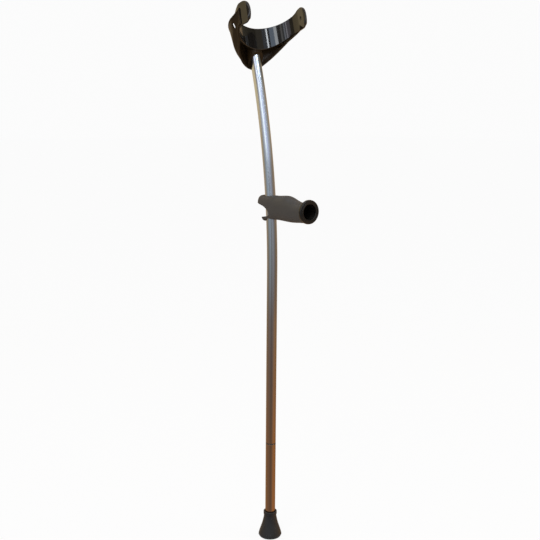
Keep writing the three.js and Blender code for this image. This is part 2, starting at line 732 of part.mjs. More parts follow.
function legTube() {
  const tube = pipe(LEG_R, LEG_BORE_R, LEG_BOTTOM, LEG_TOP);
  const buttonHole = backwards(rod(BUTTON_R + SLIDE_GAP, 0, LEG_R + 2, 20));
  const rivetHole = backwards(rod(SLEEVE_RIVET_R + SLIDE_GAP, 0, LEG_R + 2, 16));
  return cut(
    tube,
    buttonHole.translate(0, 0, TOP_HOLE_Z),
    rivetHole.translate(0, 0, SLEEVE_RIVET_Z),
  );
}

function legSleeve() {
  const sleeve = pipe(TUBE_R, LEG_R + SLIDE_GAP, LEG_BOTTOM, SEAM_Z);
  const rivetHole = backwards(rod(SLEEVE_RIVET_R + SLIDE_GAP, 0, TUBE_R + 2, 16));
  return cut(sleeve, rivetHole.translate(0, 0, SLEEVE_RIVET_Z));
}

function sleeveRivet() {
  const profile = [
    [0, LEG_BORE_R - LEG_WALL],
    [SLEEVE_RIVET_R, LEG_BORE_R - LEG_WALL],
    [SLEEVE_RIVET_R, TUBE_R + GAP],
    [RIVET_HEAD_R, TUBE_R + GAP],
    [RIVET_HEAD_R * 0.8, TUBE_R + GAP + RIVET_HEAD * 0.8],
    [0, TUBE_R + GAP + RIVET_HEAD],
  ];
  return backwards(turned(profile, 20)).translate(0, 0, SLEEVE_RIVET_Z);
}

// A plastic guide on the leg's upper end, which fills the main tube's bore.
function topGuide() {
  const end = LEG_TOP + GUIDE_CAP;
  const start = end - GUIDE_LENGTH;
  const profile = [
    [LEG_R + GAP, start],
    [TUBE_BORE_R - SLIDE_GAP, start],
    [TUBE_BORE_R - SLIDE_GAP, end - 1],
    [TUBE_BORE_R - SLIDE_GAP - 1, end],
    [LEG_BORE_R - LEG_WALL, end],
    [LEG_BORE_R - LEG_WALL, LEG_TOP + GAP],
    [LEG_R + GAP, LEG_TOP + GAP],
    [LEG_R + GAP, start],
  ];
  return turned(profile);
}

// A folded leaf spring: one arm lies along the leg's front wall, the other carries the button.
function snapSpring() {
  const near = LEG_BORE_R - SPRING_CLEAR;
  const arm = near - 1.4; // outer face of the arm that carries the button
  const fold = 5 - near; // where the fold comes down into that arm
  const crest = 2 - near;
  const outline = new THREE.Shape();
  outline.moveTo(-near, 0);
  outline.lineTo(-near, SPRING_LENGTH);
  outline.quadraticCurveTo(crest, SPRING_LENGTH + 4, fold, SPRING_LENGTH);
  outline.lineTo(arm, BUTTON_PAD);
  outline.lineTo(arm, 0);
  outline.lineTo(arm - SPRING_THICKNESS, 0);
  outline.lineTo(arm - SPRING_THICKNESS, BUTTON_PAD);
  outline.lineTo(fold - SPRING_THICKNESS * 1.2, SPRING_LENGTH - 1);
  outline.quadraticCurveTo(crest, SPRING_LENGTH + 2.4, -near + SPRING_THICKNESS, SPRING_LENGTH - 1);
  outline.lineTo(-near + SPRING_THICKNESS, 0);
  const leaf = new THREE.ExtrudeGeometry(outline, { depth: SPRING_WIDTH, bevelEnabled: false });
  return leaf
    .translate(0, 0, -SPRING_WIDTH / 2)
    .rotateX(Math.PI / 2)
    .rotateZ(Math.PI / 2)
    .translate(0, 0, TOP_HOLE_Z - BUTTON_R);
}

// The button, with a flat head inside the leg that the spring presses on.
function snapButton() {
  const head = LEG_BORE_R - 2.8;
  const tip = TUBE_R + BUTTON_PROUD;
  const profile = [
    [0, head],
    [BUTTON_R + BUTTON_RIM, head],
    [BUTTON_R + BUTTON_RIM, head + 1],
    [BUTTON_R, head + 1],
    [BUTTON_R, tip - 1.4],
    [BUTTON_R * 0.82, tip - 0.5],
    [BUTTON_R * 0.45, tip - 0.05],
    [0, tip],
  ];
  return backwards(turned(profile, 28)).translate(0, 0, TOP_HOLE_Z);
}

function legEndPlug() {
  const profile = [
    [0, LEG_BOTTOM + 1],
    [LEG_BORE_R - GAP, LEG_BOTTOM + 1],
    [LEG_BORE_R - GAP, LEG_BOTTOM + END_PLUG_LENGTH - 2],
    [LEG_BORE_R - 2, LEG_BOTTOM + END_PLUG_LENGTH],
    [0, LEG_BOTTOM + END_PLUG_LENGTH],
  ];
  return turned(profile, 32);
}

// ---------------------------------------------------------------- ferrule

function ferrule() {
  const cavity = TUBE_R + GAP;
  const foot = new THREE.CubicBezierCurve(
    new THREE.Vector2(FERRULE_FOOT_R, 4),
    new THREE.Vector2(FERRULE_FOOT_R - 2, 15),
    new THREE.Vector2(FERRULE_NECK_R + 2, 27),
    new THREE.Vector2(FERRULE_NECK_R, FERRULE_HEIGHT - FERRULE_COLLAR - 2),
  ).getPoints(10).map(({ x, y }) => [x, y]);
  const profile = [
    [0, 0],
    [FERRULE_FOOT_R - FERRULE_EDGE, 0],
    ...foot,
    [FERRULE_COLLAR_R, FERRULE_HEIGHT - FERRULE_COLLAR],
    [FERRULE_COLLAR_R, FERRULE_HEIGHT - 1],
    [FERRULE_COLLAR_R - 0.8, FERRULE_HEIGHT],
    [cavity, FERRULE_HEIGHT],
    [cavity, FERRULE_FLOOR],
    [0, FERRULE_FLOOR],
  ];
  const grooves = [];
  for (let i = 1; i <= TREAD_RINGS; i += 1) {
    const radius = (FERRULE_FOOT_R - FERRULE_EDGE - 0.5) * (i / TREAD_RINGS);
    grooves.push(pipe(radius, radius - TREAD_WIDTH, -TREAD_DEPTH, TREAD_DEPTH));
  }
  return cut(turned(profile, 48), ...grooves);
}

function ferruleWasher() {
  const from = FERRULE_FLOOR + GAP;
  return pipe(TUBE_R - GAP, WASHER_HOLE_R, from, from + WASHER_THICKNESS);
}

// ---------------------------------------------------------------- the crutch

function upperPieces() {
  const grip = gripPlace();
  grip.add(
    piece('handle_grip', softGrip(), 'softGrip'),
    piece('handle_core', gripCore(), 'hardPlastic'),
    piece('handle_end_ring', endRing(), 'hardPlastic'),
    piece('handle_bolt', gripBolt(), 'steel'),
    piece('handle_washer', gripWasher(), 'steel'),
    piece('handle_saddle', gripSaddle(), 'nylon'),
    piece('handle_nut', gripNut(), 'steel'),
  );
  const top = cuffPlace();
  top.add(
    piece('cuff', cuff(), 'cuffPlastic'),
    piece('cuff_screw', cuffScrew(), 'steel'),
    piece('tube_top_plug', topPlug(), 'nylon'),
  );
  return [
    piece('main_tube', mainTube(), 'anodised'),
    piece('lower_bush', lowerBush(), 'nylon'),
    grip,
    top,
  ];
}

function legPieces() {
  return [
    piece('leg_tube', legTube(), 'anodised'),
    piece('leg_sleeve', legSleeve(), 'anodised'),
    piece('sleeve_rivet', sleeveRivet(), 'steel'),
    piece('leg_top_guide', topGuide(), 'nylon'),
    piece('snap_spring', snapSpring(), 'steel'),
    piece('snap_button', snapButton(), 'steel'),
    piece('leg_end_plug', legEndPlug(), 'nylon'),
    piece('ferrule', ferrule(), 'rubber'),
    piece('ferrule_washer', ferruleWasher(), 'steel'),
  ];
}

const crutch = new THREE.Group();
crutch.name = 'forearm_crutch';
crutch.add(...upperPieces(), ...legPieces());

export default crutch;
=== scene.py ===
# %% [markdown]
# # A forearm crutch
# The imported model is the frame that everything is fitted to. It brings one object per CAD node and
# one empty per moving body, all in metres, +Z up, with the origin under the middle of the ferrule.

# %% Load the frame
import math
import bmesh
import bpy
import numpy as np
from mathutils import Matrix, Vector


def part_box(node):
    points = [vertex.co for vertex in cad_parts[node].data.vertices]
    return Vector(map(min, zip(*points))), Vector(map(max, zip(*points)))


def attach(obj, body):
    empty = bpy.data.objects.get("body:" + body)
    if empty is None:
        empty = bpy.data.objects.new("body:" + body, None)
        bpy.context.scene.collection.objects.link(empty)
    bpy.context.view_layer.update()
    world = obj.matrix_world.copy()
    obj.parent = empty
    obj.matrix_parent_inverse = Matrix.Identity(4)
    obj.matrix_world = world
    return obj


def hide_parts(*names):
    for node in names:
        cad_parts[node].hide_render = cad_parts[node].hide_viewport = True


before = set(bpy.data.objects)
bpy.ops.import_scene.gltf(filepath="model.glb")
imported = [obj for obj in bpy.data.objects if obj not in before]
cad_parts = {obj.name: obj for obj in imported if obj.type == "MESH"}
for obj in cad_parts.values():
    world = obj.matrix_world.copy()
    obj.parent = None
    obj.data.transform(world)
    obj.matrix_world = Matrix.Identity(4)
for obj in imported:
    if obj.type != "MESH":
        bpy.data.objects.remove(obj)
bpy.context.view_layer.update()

# %% [markdown]
# ## Sizes
# Crutch tubes are sold by their diameter, so the whole part is worked out from a 20 mm tube. The
# heights come from the frame's own boxes, so that nothing here can drift away from the solids.

# %% Driving sizes
MM = 0.001
GAP = 0.3 * MM
TUBE_R = 10 * MM
TUBE_WALL = 1.1 * MM
TUBE_BORE = TUBE_R - TUBE_WALL
LEG_R = 7.6 * MM
LEG_WALL = 1.2 * MM
TUBE_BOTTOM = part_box("main_tube")[0].z
BEND_START = 546 * MM
BEND_RADIUS = 1433 * MM
BEND_ANGLE = math.radians(15.5)
TUBE_TAIL = 50 * MM
GRIP_Z = 671.5 * MM
GRIP_LEAN = math.asin((GRIP_Z - BEND_START) / BEND_RADIUS)
GRIP_Y = BEND_RADIUS * (1 - math.cos(GRIP_LEAN))
print("tube starts at", round(TUBE_BOTTOM, 4), "grip's axis is", round(GRIP_Y, 4), "behind the foot")

# %% [markdown]
# ## Working frames
# Two groups of pieces are easier to make in a frame of their own and then carried into place: the
# grip, whose axis points forward at hand height, and the cuff, whose axis is the tube's upper end.

# %% Frames of the grip and the cuff
BEND_TOP = Vector((
    0,
    BEND_RADIUS * (1 - math.cos(BEND_ANGLE)),
    BEND_START + BEND_RADIUS * math.sin(BEND_ANGLE),
))
GRIP_FRAME = Matrix.Translation((0, GRIP_Y, GRIP_Z))
CUFF_FRAME = Matrix.Translation(BEND_TOP) @ Matrix.Rotation(-BEND_ANGLE, 4, "X")
FORWARD = Matrix.Rotation(math.pi / 2, 4, "X")
BACKWARD = Matrix.Rotation(-math.pi / 2, 4, "X")
print("cuff frame at", [round(c, 4) for c in BEND_TOP])

# %% [markdown]
# ## Mesh helpers
# Nearly every piece of a crutch is either turned, drawn along a line, or moulded as a thin wall.
# Each kind gets one small helper that writes vertices and faces directly.

# %% A mesh object from vertices and faces
def mesh_object(name, verts, faces, place=None):
    mesh = bpy.data.meshes.new(name)
    mesh.from_pydata([tuple(v) for v in verts], [], faces)
    if place is not None:
        mesh.transform(place)
    tidy = bmesh.new()
    tidy.from_mesh(mesh)
    bmesh.ops.remove_doubles(tidy, verts=tidy.verts, dist=1e-7)
    bmesh.ops.dissolve_degenerate(tidy, edges=tidy.edges, dist=1e-7)
    bmesh.ops.recalc_face_normals(tidy, faces=tidy.faces)
    tidy.to_mesh(mesh)
    tidy.free()
    obj = bpy.data.objects.new(name, mesh)
    bpy.context.scene.collection.objects.link(obj)
    return obj


def shade(obj, sharp_from):
    """Shades smooth, and keeps the edges crisp that turn by more than an angle in degrees."""
    mesh = obj.data
    mesh.polygons.foreach_set("use_smooth", [True] * len(mesh.polygons))
    mesh.set_sharp_from_angle(angle=math.radians(sharp_from))


# %% [markdown]
# A turned piece is a closed outline of (radius, height) points, spun about Z. Real turned and
# moulded edges are never knife sharp, and it is the small round that catches the light, so each
# corner of the outline can carry its own radius.

# %% Rounded outlines and turned pieces
def rounded(outline, steps=4):
    """Outline points are (radius, height) or (radius, height, corner round)."""
    points = []
    count = len(outline)
    for i, corner in enumerate(outline):
        here = Vector(corner[:2])
        size = corner[2] if len(corner) > 2 else 0
        if size == 0:
            points.append(here)
            continue
        before = Vector(outline[i - 1][:2]) - here
        after = Vector(outline[(i + 1) % count][:2]) - here
        reach = min(size, before.length * 0.49, after.length * 0.49)
        start = here + before.normalized() * reach
        end = here + after.normalized() * reach
        for k in range(steps + 1):
            t = k / steps
            points.append(start * (1 - t) ** 2 + here * 2 * t * (1 - t) + end * t * t)
    return points


def ring_faces(rings, around, closed=True):
    """Faces between rings of vertices. A closed shape joins its last ring to its first."""
    faces = []
    for i in range(rings if closed else rings - 1):
        here, ahead = i * around, (i + 1) % rings * around
        for j in range(around):
            side = (j + 1) % around
            faces.append((here + j, here + side, ahead + side, ahead + j))
    return faces


def capped_faces(rings, around):
    """Faces between rings of vertices, with a flat end on the first and on the last ring."""
    last = (rings - 1) * around
    ends = [tuple(range(around)), tuple(range(last, last + around))]
    return ring_faces(rings, around, closed=False) + ends


def turned(name, outline, place=None, around=96, steps=4):
    points = rounded(outline, steps)
    verts = []
    for r, z in points:
        for j in range(around):
            angle = 2 * math.pi * j / around
            verts.append((r * math.cos(angle), r * math.sin(angle), z))
    return mesh_object(name, verts, ring_faces(len(points), around), place)


# %% [markdown]
# Holes are drilled with the Boolean modifier. The result is baked into the mesh straight away, so
# the piece that rides on the crutch is plain geometry.

# %% Cutting
OVERSHOOT = 1.2  # a drill that starts in the middle of a tube ends this far out, in tube radii


def apply_modifiers(obj):
    depsgraph = bpy.context.evaluated_depsgraph_get()
    baked = bpy.data.meshes.new_from_object(obj.evaluated_get(depsgraph))
    old = obj.data
    obj.modifiers.clear()
    obj.data = baked
    bpy.data.meshes.remove(old)
    return obj


def cut(obj, tools):
    for tool in tools:
        step = obj.modifiers.new("cut", "BOOLEAN")
        step.operation = "DIFFERENCE"
        step.solver = "EXACT"
        step.object = tool
    apply_modifiers(obj)
    for tool in tools:
        bpy.data.objects.remove(tool)
    return obj


def drill(radius, start, end, place, around=48):
    outline = [(0, start), (radius, start), (radius, end), (0, end)]
    return turned("drill", outline, place, around)


def radial_drill(radius, height, tube_r):
    """Drills the back wall of an upright tube."""
    place = Matrix.Translation((0, 0, height)) @ BACKWARD
    return drill(radius, 0, tube_r * OVERSHOOT, place)


def round_edges(obj, width, least_angle=30):
    """A small bevel on the edges that turn by more than an angle in degrees."""
    edge = obj.modifiers.new("edge", "BEVEL")
    edge.width = width
    edge.segments = 3
    edge.limit_method = "ANGLE"
    edge.angle_limit = math.radians(least_angle)
    return apply_modifiers(obj)


# %% [markdown]
# ## Shared surface effects
# Scratches, moulding grain and dust turn up on several finishes, so each is a node group that
# gives out only a mask or a height. Every finish then uses it with its own numbers.

# %% Node helpers
def new_group(name, inputs, outputs):
    group = bpy.data.node_groups.new(name, "ShaderNodeTree")
    for label, value in inputs.items():
        socket = group.interface.new_socket(label, in_out="INPUT", socket_type="NodeSocketFloat")
        socket.default_value = value
    for label in outputs:
        group.interface.new_socket(label, in_out="OUTPUT", socket_type="NodeSocketFloat")
    return group, group.nodes.new("NodeGroupInput"), group.nodes.new("NodeGroupOutput")


def math_node(nodes, links, operation, a, b=None, clamp=False):
    node = nodes.new("ShaderNodeMath")
    node.operation = operation
    node.use_clamp = clamp
    for socket, value in zip(node.inputs, (a, b)):
        if value is None:
            continue
        if isinstance(value, (int, float)):
            socket.default_value = value
        else:
            links.new(value, socket)
    return node.outputs[0]


def use_group(nodes, tree, **values):
    node = nodes.new("ShaderNodeGroup")
    node.node_tree = tree
    for label, value in values.items():
        node.inputs[label].default_value = value
    return node


def blend(nodes, links, factor, a, b, kind="MIX"):
    """Mixes two colours. Each is a tone or a socket, and so is the factor."""
    node = nodes.new("ShaderNodeMix")
    node.data_type = "RGBA"
    node.blend_type = kind
    for label, value in (("Factor", factor), ("A", a), ("B", b)):
        if isinstance(value, tuple):
            node.inputs[label].default_value = (*value, 1)
        elif isinstance(value, (int, float)):
            node.inputs[label].default_value = value
        else:
            links.new(value, node.inputs[label])
    return node.outputs["Result"]


def noise(nodes, links, vector, scale, detail=3, roughness=0.5):
    node = nodes.new("ShaderNodeTexNoise")
    node.inputs["Scale"].default_value = scale
    node.inputs["Detail"].default_value = detail
    node.inputs["Roughness"].default_value = roughness
    links.new(vector, node.inputs["Vector"])
    return node


def stretched(nodes, links, vector, scale, turn=(0, 0, 0)):
    node = nodes.new("ShaderNodeMapping")
    node.inputs["Scale"].default_value = scale
    node.inputs["Rotation"].default_value = turn
    links.new(vector, node.inputs["Vector"])
    return node.outputs["Vector"]


# %% Grain: the fine, even texture that a mould or a tumbled blank leaves
def grain_group():
    group, entry, leave = new_group("Grain", {"Scale": 2500}, ["Height", "Mask"])
    nodes, links = group.nodes, group.links
    where = nodes.new("ShaderNodeTexCoord").outputs["Object"]
    fine = noise(nodes, links, where, scale=1)
    links.new(entry.outputs["Scale"], fine.inputs["Scale"])
    links.new(fine.outputs["Fac"], leave.inputs["Height"])
    broad = noise(nodes, links, where, scale=38, detail=4)
    links.new(broad.outputs["Fac"], leave.inputs["Mask"])
    return group


# %% Scuffs: sparse thin marks, longer along Z, that come from use
def scuff_group():
    group, entry, leave = new_group("Scuffs", {"Amount": 0.5}, ["Mask"])
    nodes, links = group.nodes, group.links
    where = nodes.new("ShaderNodeTexCoord").outputs["Object"]
    long_marks = stretched(nodes, links, where, scale=(9, 9, 0.7), turn=(0.12, 0.2, 0))
    marks = noise(nodes, links, long_marks, scale=60, detail=6, roughness=0.62)
    rare = nodes.new("ShaderNodeMapRange")
    rare.inputs["From Min"].default_value = 0.60
    rare.inputs["From Max"].default_value = 0.74
    links.new(marks.outputs["Fac"], rare.inputs["Value"])
    mask = math_node(nodes, links, "MULTIPLY", rare.outputs["Result"], entry.outputs["Amount"], True)
    links.new(mask, leave.inputs["Mask"])
    return group


# %% Dust: settles on what faces up, in soft patches
def dust_group():
    group, entry, leave = new_group("Dust", {"Amount": 0.3}, ["Mask"])
    nodes, links = group.nodes, group.links
    split = nodes.new("ShaderNodeSeparateXYZ")
    links.new(nodes.new("ShaderNodeNewGeometry").outputs["Normal"], split.inputs["Vector"])
    where = nodes.new("ShaderNodeTexCoord").outputs["Object"]
    patches = noise(nodes, links, where, scale=85, detail=5)
    up = math_node(nodes, links, "MAXIMUM", split.outputs["Z"], 0)
    soft = math_node(nodes, links, "MULTIPLY", up, patches.outputs["Fac"])
    mask = math_node(nodes, links, "MULTIPLY", soft, entry.outputs["Amount"], True)
    links.new(mask, leave.inputs["Mask"])
    return group


GRAIN = grain_group()
SCUFFS = scuff_group()
DUST = dust_group()
print("node groups:", [g.name for g in bpy.data.node_groups])


# %% [markdown]
# ## Finishes
# A finish is one Principled shader. The same recipe serves all of them: a base colour that drifts
# a little between two tones, scuffs that lighten it and roughen it, dust, and a grain for the bump.

# %% The recipe for a finish
DUST_TONE = (0.42, 0.40, 0.37)
WORN_ROUGHNESS = 0.35  # what a scuff adds
PATCHY_ROUGHNESS = 0.10  # how much the roughness drifts over the surface


def finish_material(
    name, tone, drift, rough, metallic=0.0, ior=1.5, grain=2500, bump=0.02,
    scuff=0.15, scuff_tone=(0.5, 0.5, 0.5), dust=0.1, base=None,
):
    """bump is in millimetres. base may be a function that makes the colour in place of the tones."""
    material = bpy.data.materials.new(name)
    material.use_nodes = True
    nodes, links = material.node_tree.nodes, material.node_tree.links
    shader = nodes["Principled BSDF"]
    shader.inputs["Metallic"].default_value = metallic
    shader.inputs["IOR"].default_value = ior
    texture = use_group(nodes, GRAIN, Scale=grain)
    marks = use_group(nodes, SCUFFS, Amount=scuff)
    settled = use_group(nodes, DUST, Amount=dust)
    if base is None:
        colour = blend(nodes, links, texture.outputs["Mask"], tone, drift)
    else:
        colour = base(nodes, links)
    colour = blend(nodes, links, marks.outputs["Mask"], colour, scuff_tone)
    colour = blend(nodes, links, settled.outputs["Mask"], colour, DUST_TONE)
    links.new(colour, shader.inputs["Base Color"])
    worn = math_node(nodes, links, "MULTIPLY", marks.outputs["Mask"], WORN_ROUGHNESS)
    patchy = math_node(nodes, links, "MULTIPLY", texture.outputs["Mask"], PATCHY_ROUGHNESS)
    uneven = math_node(nodes, links, "ADD", patchy, worn)
    smoothest = rough - PATCHY_ROUGHNESS / 2
    links.new(math_node(nodes, links, "ADD", uneven, smoothest, True), shader.inputs["Roughness"])
    relief = nodes.new("ShaderNodeBump")
    relief.inputs["Distance"].default_value = bump * MM
    links.new(texture.outputs["Height"], relief.inputs["Height"])
    links.new(relief.outputs["Normal"], shader.inputs["Normal"])
    return material


# %% Plastics, rubber and steel
CUFF_PLASTIC = finish_material(
    "cuff_gloss_plastic", (0.0055, 0.0045, 0.0035), (0.0085, 0.0065, 0.0045), 0.075, ior=1.46,
    grain=900, bump=0.0005, scuff=0.05, scuff_tone=(0.10, 0.08, 0.06), dust=0.02,
)
CUFF_BACK = finish_material(
    "cuff_satin_plastic", (0.0150, 0.0085, 0.0034), (0.0220, 0.0125, 0.0046), 0.34, ior=1.20,
    grain=900, bump=0.003, scuff=0.05, scuff_tone=(0.10, 0.08, 0.06), dust=0.02,
)
SOFT_GRIP = finish_material(
    "grip_soft_plastic", (0.0300, 0.0285, 0.0290), (0.0400, 0.0380, 0.0380), 0.60, ior=1.42,
    grain=2200, bump=0.09, scuff=0.08, scuff_tone=(0.12, 0.11, 0.10), dust=0.08,
)
HARD_PLASTIC = finish_material(
    "hard_black_plastic", (0.0030, 0.0027, 0.0025), (0.0052, 0.0044, 0.0037), 0.26, ior=1.34,
    grain=1800, bump=0.02, scuff=0.08, scuff_tone=(0.08, 0.065, 0.05), dust=0.03,
)
NYLON = finish_material(
    "nylon", (0.030, 0.029, 0.030), (0.042, 0.040, 0.040), 0.50, grain=2000, bump=0.03, dust=0.05,
)
FERRULE_RUBBER = finish_material(
    "ferrule_rubber", (0.0075, 0.0078, 0.0085), (0.0135, 0.0138, 0.0145), 0.50, ior=1.36,
    grain=1500, bump=0.08, scuff=0.16, scuff_tone=(0.065, 0.06, 0.055), dust=0.10,
)
ZINC_STEEL = finish_material(
    "zinc_steel", (0.56, 0.56, 0.57), (0.50, 0.51, 0.53), 0.34, metallic=1.0,
    grain=2600, bump=0.01, scuff=0.2, scuff_tone=(0.35, 0.33, 0.30), dust=0.0,
)
print("finishes:", [m.name for m in bpy.data.materials])

# %% [markdown]
# The tubes are drawn aluminium with a satin anodised skin. The tubes' colour has a painted reflection
# of a warm floor in it: cool silver at the top, darker and a warm bronze towards the foot. A colour
# ramp over the object's own height paints that change, so it stays with the crutch from every side,
# and fine lines along Z are the marks that drawing leaves.

# %% Anodised tube finish
DRAWN_LINES = 0.16  # how strongly the drawn lines darken the skin
# Painted reflection: the darker, bronze lower stops paint the warm floor's reflection into the tube's
# colour; the skin itself is silver.
TUBE_TONES_WITH_PAINTED_REFLECTION = [  # share of the height, colour
    (0.00, (0.275, 0.170, 0.098)),
    (0.15, (0.265, 0.172, 0.105)),
    (0.32, (0.232, 0.190, 0.160)),
    (0.45, (0.240, 0.222, 0.210)),
    (0.58, (0.310, 0.310, 0.312)),
    (0.70, (0.400, 0.420, 0.450)),
    (1.00, (0.430, 0.460, 0.500)),
]


# Paints the floor's warm reflection into the colour, darker and bronze towards the foot.
def tube_colour_with_painted_reflection(nodes, links):
    where = nodes.new("ShaderNodeTexCoord").outputs["Object"]
    split = nodes.new("ShaderNodeSeparateXYZ")
    links.new(where, split.inputs["Vector"])
    height = nodes.new("ShaderNodeMapRange")
    height.inputs["From Min"].default_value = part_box("ferrule")[1].z
    height.inputs["From Max"].default_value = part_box("main_tube")[1].z
    links.new(split.outputs["Z"], height.inputs["Value"])
    ramp = nodes.new("ShaderNodeValToRGB")
    stops = ramp.color_ramp.elements
    while len(stops) < len(TUBE_TONES_WITH_PAINTED_REFLECTION):
        stops.new(0.5)
    for stop, (at, tone) in zip(stops, TUBE_TONES_WITH_PAINTED_REFLECTION):
        stop.position = at
        stop.color = (*tone, 1)
    links.new(height.outputs["Result"], ramp.inputs["Fac"])
    along_z = stretched(nodes, links, where, scale=(1100, 1100, 5))
    lines = noise(nodes, links, along_z, scale=1, detail=2)
    return blend(nodes, links, DRAWN_LINES, ramp.outputs["Color"], lines.outputs["Color"], "MULTIPLY")


TUBE_FINISH = finish_material(
    "anodised_tube", None, None, 0.19, metallic=1.0, grain=2600, bump=0.0002,
    scuff=0.06, scuff_tone=(0.40, 0.38, 0.35), dust=0.0, base=tube_colour_with_painted_reflection,
)
LEG_FINISH = finish_material(
    "plain_leg_tube", (0.42, 0.43, 0.45), (0.38, 0.39, 0.41), 0.30, metallic=1.0, grain=2600,
    bump=0.001, scuff=0.35, scuff_tone=(0.22, 0.21, 0.20), dust=0.0,
)


# %% [markdown]
# Every piece is finished the same way: it rides on the body that it belongs to, hides the CAD
# nodes that it stands for, and gets its material.

# %% Putting a piece on the crutch
def dress(obj, material, body, slot, *nodes, sharp_from=32):
    obj.data.materials.clear()
    obj.data.materials.append(material)
    shade(obj, sharp_from)
    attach(obj, body)
    if nodes:
        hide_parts(*nodes)
    print(obj.name, "has", len(obj.data.polygons), "faces and rides on", body)


# %% [markdown]
# ## The main tube
# One tube runs from the seam to the cuff: straight, then one long gentle bend back, then a short
# straight end. A round section is carried along that line. The line lies in the YZ plane, so each
# ring only has to be leaned by the angle that the line has there.

# %% Main tube
TUBE_CHAMFER = 0.3 * MM
BEND_RINGS = 40
STRAIGHT_RINGS = 6


def tube_line(distance):
    """Centre and lean of the tube at a distance from its lower end."""
    straight = BEND_START - TUBE_BOTTOM
    turn = min(max(distance - straight, 0) / BEND_RADIUS, BEND_ANGLE)
    tail = max(distance - straight - BEND_RADIUS * BEND_ANGLE, 0)
    run = min(distance, straight)
    y = BEND_RADIUS * (1 - math.cos(turn)) + tail * math.sin(turn)
    z = TUBE_BOTTOM + run + BEND_RADIUS * math.sin(turn) + tail * math.cos(turn)
    return Vector((0, y, z)), turn


def main_tube(around=96):
    straight = BEND_START - TUBE_BOTTOM
    bend = BEND_RADIUS * BEND_ANGLE
    length = straight + bend + TUBE_TAIL
    stops = [straight * (i + 1) / STRAIGHT_RINGS for i in range(STRAIGHT_RINGS)]
    stops += [straight + bend * (i + 1) / BEND_RINGS for i in range(BEND_RINGS)]
    mouth_r = TUBE_R - TUBE_CHAMFER
    outside = [(mouth_r, 0), (TUBE_R, TUBE_CHAMFER)] + [(TUBE_R, s) for s in stops]
    outside += [(TUBE_R, length - TUBE_CHAMFER), (mouth_r, length)]
    inside = [(TUBE_BORE, length)] + [(TUBE_BORE, s) for s in reversed(stops)] + [(TUBE_BORE, 0)]
    verts = []
    for radius, distance in outside + inside:
        centre, lean = tube_line(distance)
        for j in range(around):
            angle = 2 * math.pi * j / around
            across = radius * math.sin(angle)
            offset = (radius * math.cos(angle), across * math.cos(lean), -across * math.sin(lean))
            verts.append(centre + Vector(offset))
    return mesh_object("tube_upper", verts, ring_faces(len(outside + inside), around))


# %% [markdown]
# Behind the tube is the row of adjustment holes. The snap button looks out of the top one when the
# leg is at its shortest. The bolt of the grip and the screw of the cuff need holes too.

# %% Holes in the main tube
HOLE_R = 3.3 * MM
HOLE_COUNT = 7
HOLE_PITCH = 25 * MM
SCREW_HOLE_R = 2.3 * MM
SCREW_Z = 17 * MM  # above the start of the tube's straight end
SCREW_PLACE = CUFF_FRAME @ Matrix.Translation((0, 0, SCREW_Z)) @ BACKWARD


def middle_height(node):
    low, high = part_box(node)
    return (low.z + high.z) / 2


TOP_HOLE_Z = middle_height("snap_button")


def tube_holes():
    heights = [TOP_HOLE_Z - i * HOLE_PITCH for i in range(HOLE_COUNT)]
    tools = [radial_drill(HOLE_R, height, TUBE_R) for height in heights]
    tools.append(drill(HOLE_R, 0, TUBE_R * OVERSHOOT, GRIP_FRAME @ FORWARD))
    tools.append(drill(SCREW_HOLE_R, 0, TUBE_R * OVERSHOOT, SCREW_PLACE))
    return tools


tube = cut(main_tube(), tube_holes())
dress(tube, TUBE_FINISH, "upper", "anodised", "main_tube")

# %% [markdown]
# ## The leg
# The leg is a thinner tube that runs up inside the main one. A sleeve of the main tube's own
# diameter covers its lower part, so that only a fine seam shows where the two meet.

# %% Leg tube, sleeve and the bush at the seam
SLIDE_GAP = 0.2 * MM
BUTTON_HOLE_R = 3.2 * MM
RIVET_HOLE_R = 1.8 * MM
RIVET_Z = middle_height("sleeve_rivet")


def plain_tube(name, node, outer, inner, edge):
    """A straight tube as high as its node, with edges rounded outside."""
    low, high = (corner.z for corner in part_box(node))
    return turned(name, [(inner, low), (outer, low, edge), (outer, high, edge), (inner, high)])


def leg_tube():
    leg = plain_tube("leg_inner_tube", "leg_tube", LEG_R, LEG_R - LEG_WALL, 0.25 * MM)
    button_hole = radial_drill(BUTTON_HOLE_R, TOP_HOLE_Z, LEG_R)
    return cut(leg, [button_hole, radial_drill(RIVET_HOLE_R, RIVET_Z, LEG_R)])


def leg_sleeve():
    sleeve = plain_tube("leg_outer_sleeve", "leg_sleeve", TUBE_R, LEG_R + SLIDE_GAP, 0.6 * MM)
    return cut(sleeve, [radial_drill(RIVET_HOLE_R, RIVET_Z, TUBE_R)])


def seam_bush():
    low, high = (corner.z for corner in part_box("lower_bush"))
    flange_top = TUBE_BOTTOM - GAP
    return turned("seam_bush", [
        (LEG_R + SLIDE_GAP, low, 0.2 * MM),
        (TUBE_R, low, 0.35 * MM),
        (TUBE_R, flange_top, 0.35 * MM),
        (TUBE_BORE - SLIDE_GAP, flange_top),
        (TUBE_BORE - SLIDE_GAP, high, 0.3 * MM),
        (LEG_R + SLIDE_GAP, high),
    ])


dress(leg_tube(), LEG_FINISH, "leg", "anodised", "leg_tube")
dress(leg_sleeve(), TUBE_FINISH, "leg", "anodised", "leg_sleeve")
dress(seam_bush(), NYLON, "upper", "nylon", "lower_bush")

# %% [markdown]
# ## The ferrule
# The rubber foot is turned to one profile: a beaded collar that grips the tube, a waist, and a
# skirt that flares to the ground. The skirt's line is a cubic curve. Rings cut in the foot keep it
# from slipping.

# %% Ferrule
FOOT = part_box("ferrule")
FOOT_R = FOOT[1].x
FOOT_TOP = FOOT[1].z
COLLAR_R = 13.4 * MM
COLLAR_HEIGHT = 8 * MM  # with the little step under it
WAIST_R = 12.4 * MM
SKIRT_START = 4 * MM
TREAD_DEPTH = 1.2 * MM
TREAD_WIDTH = 1.6 * MM


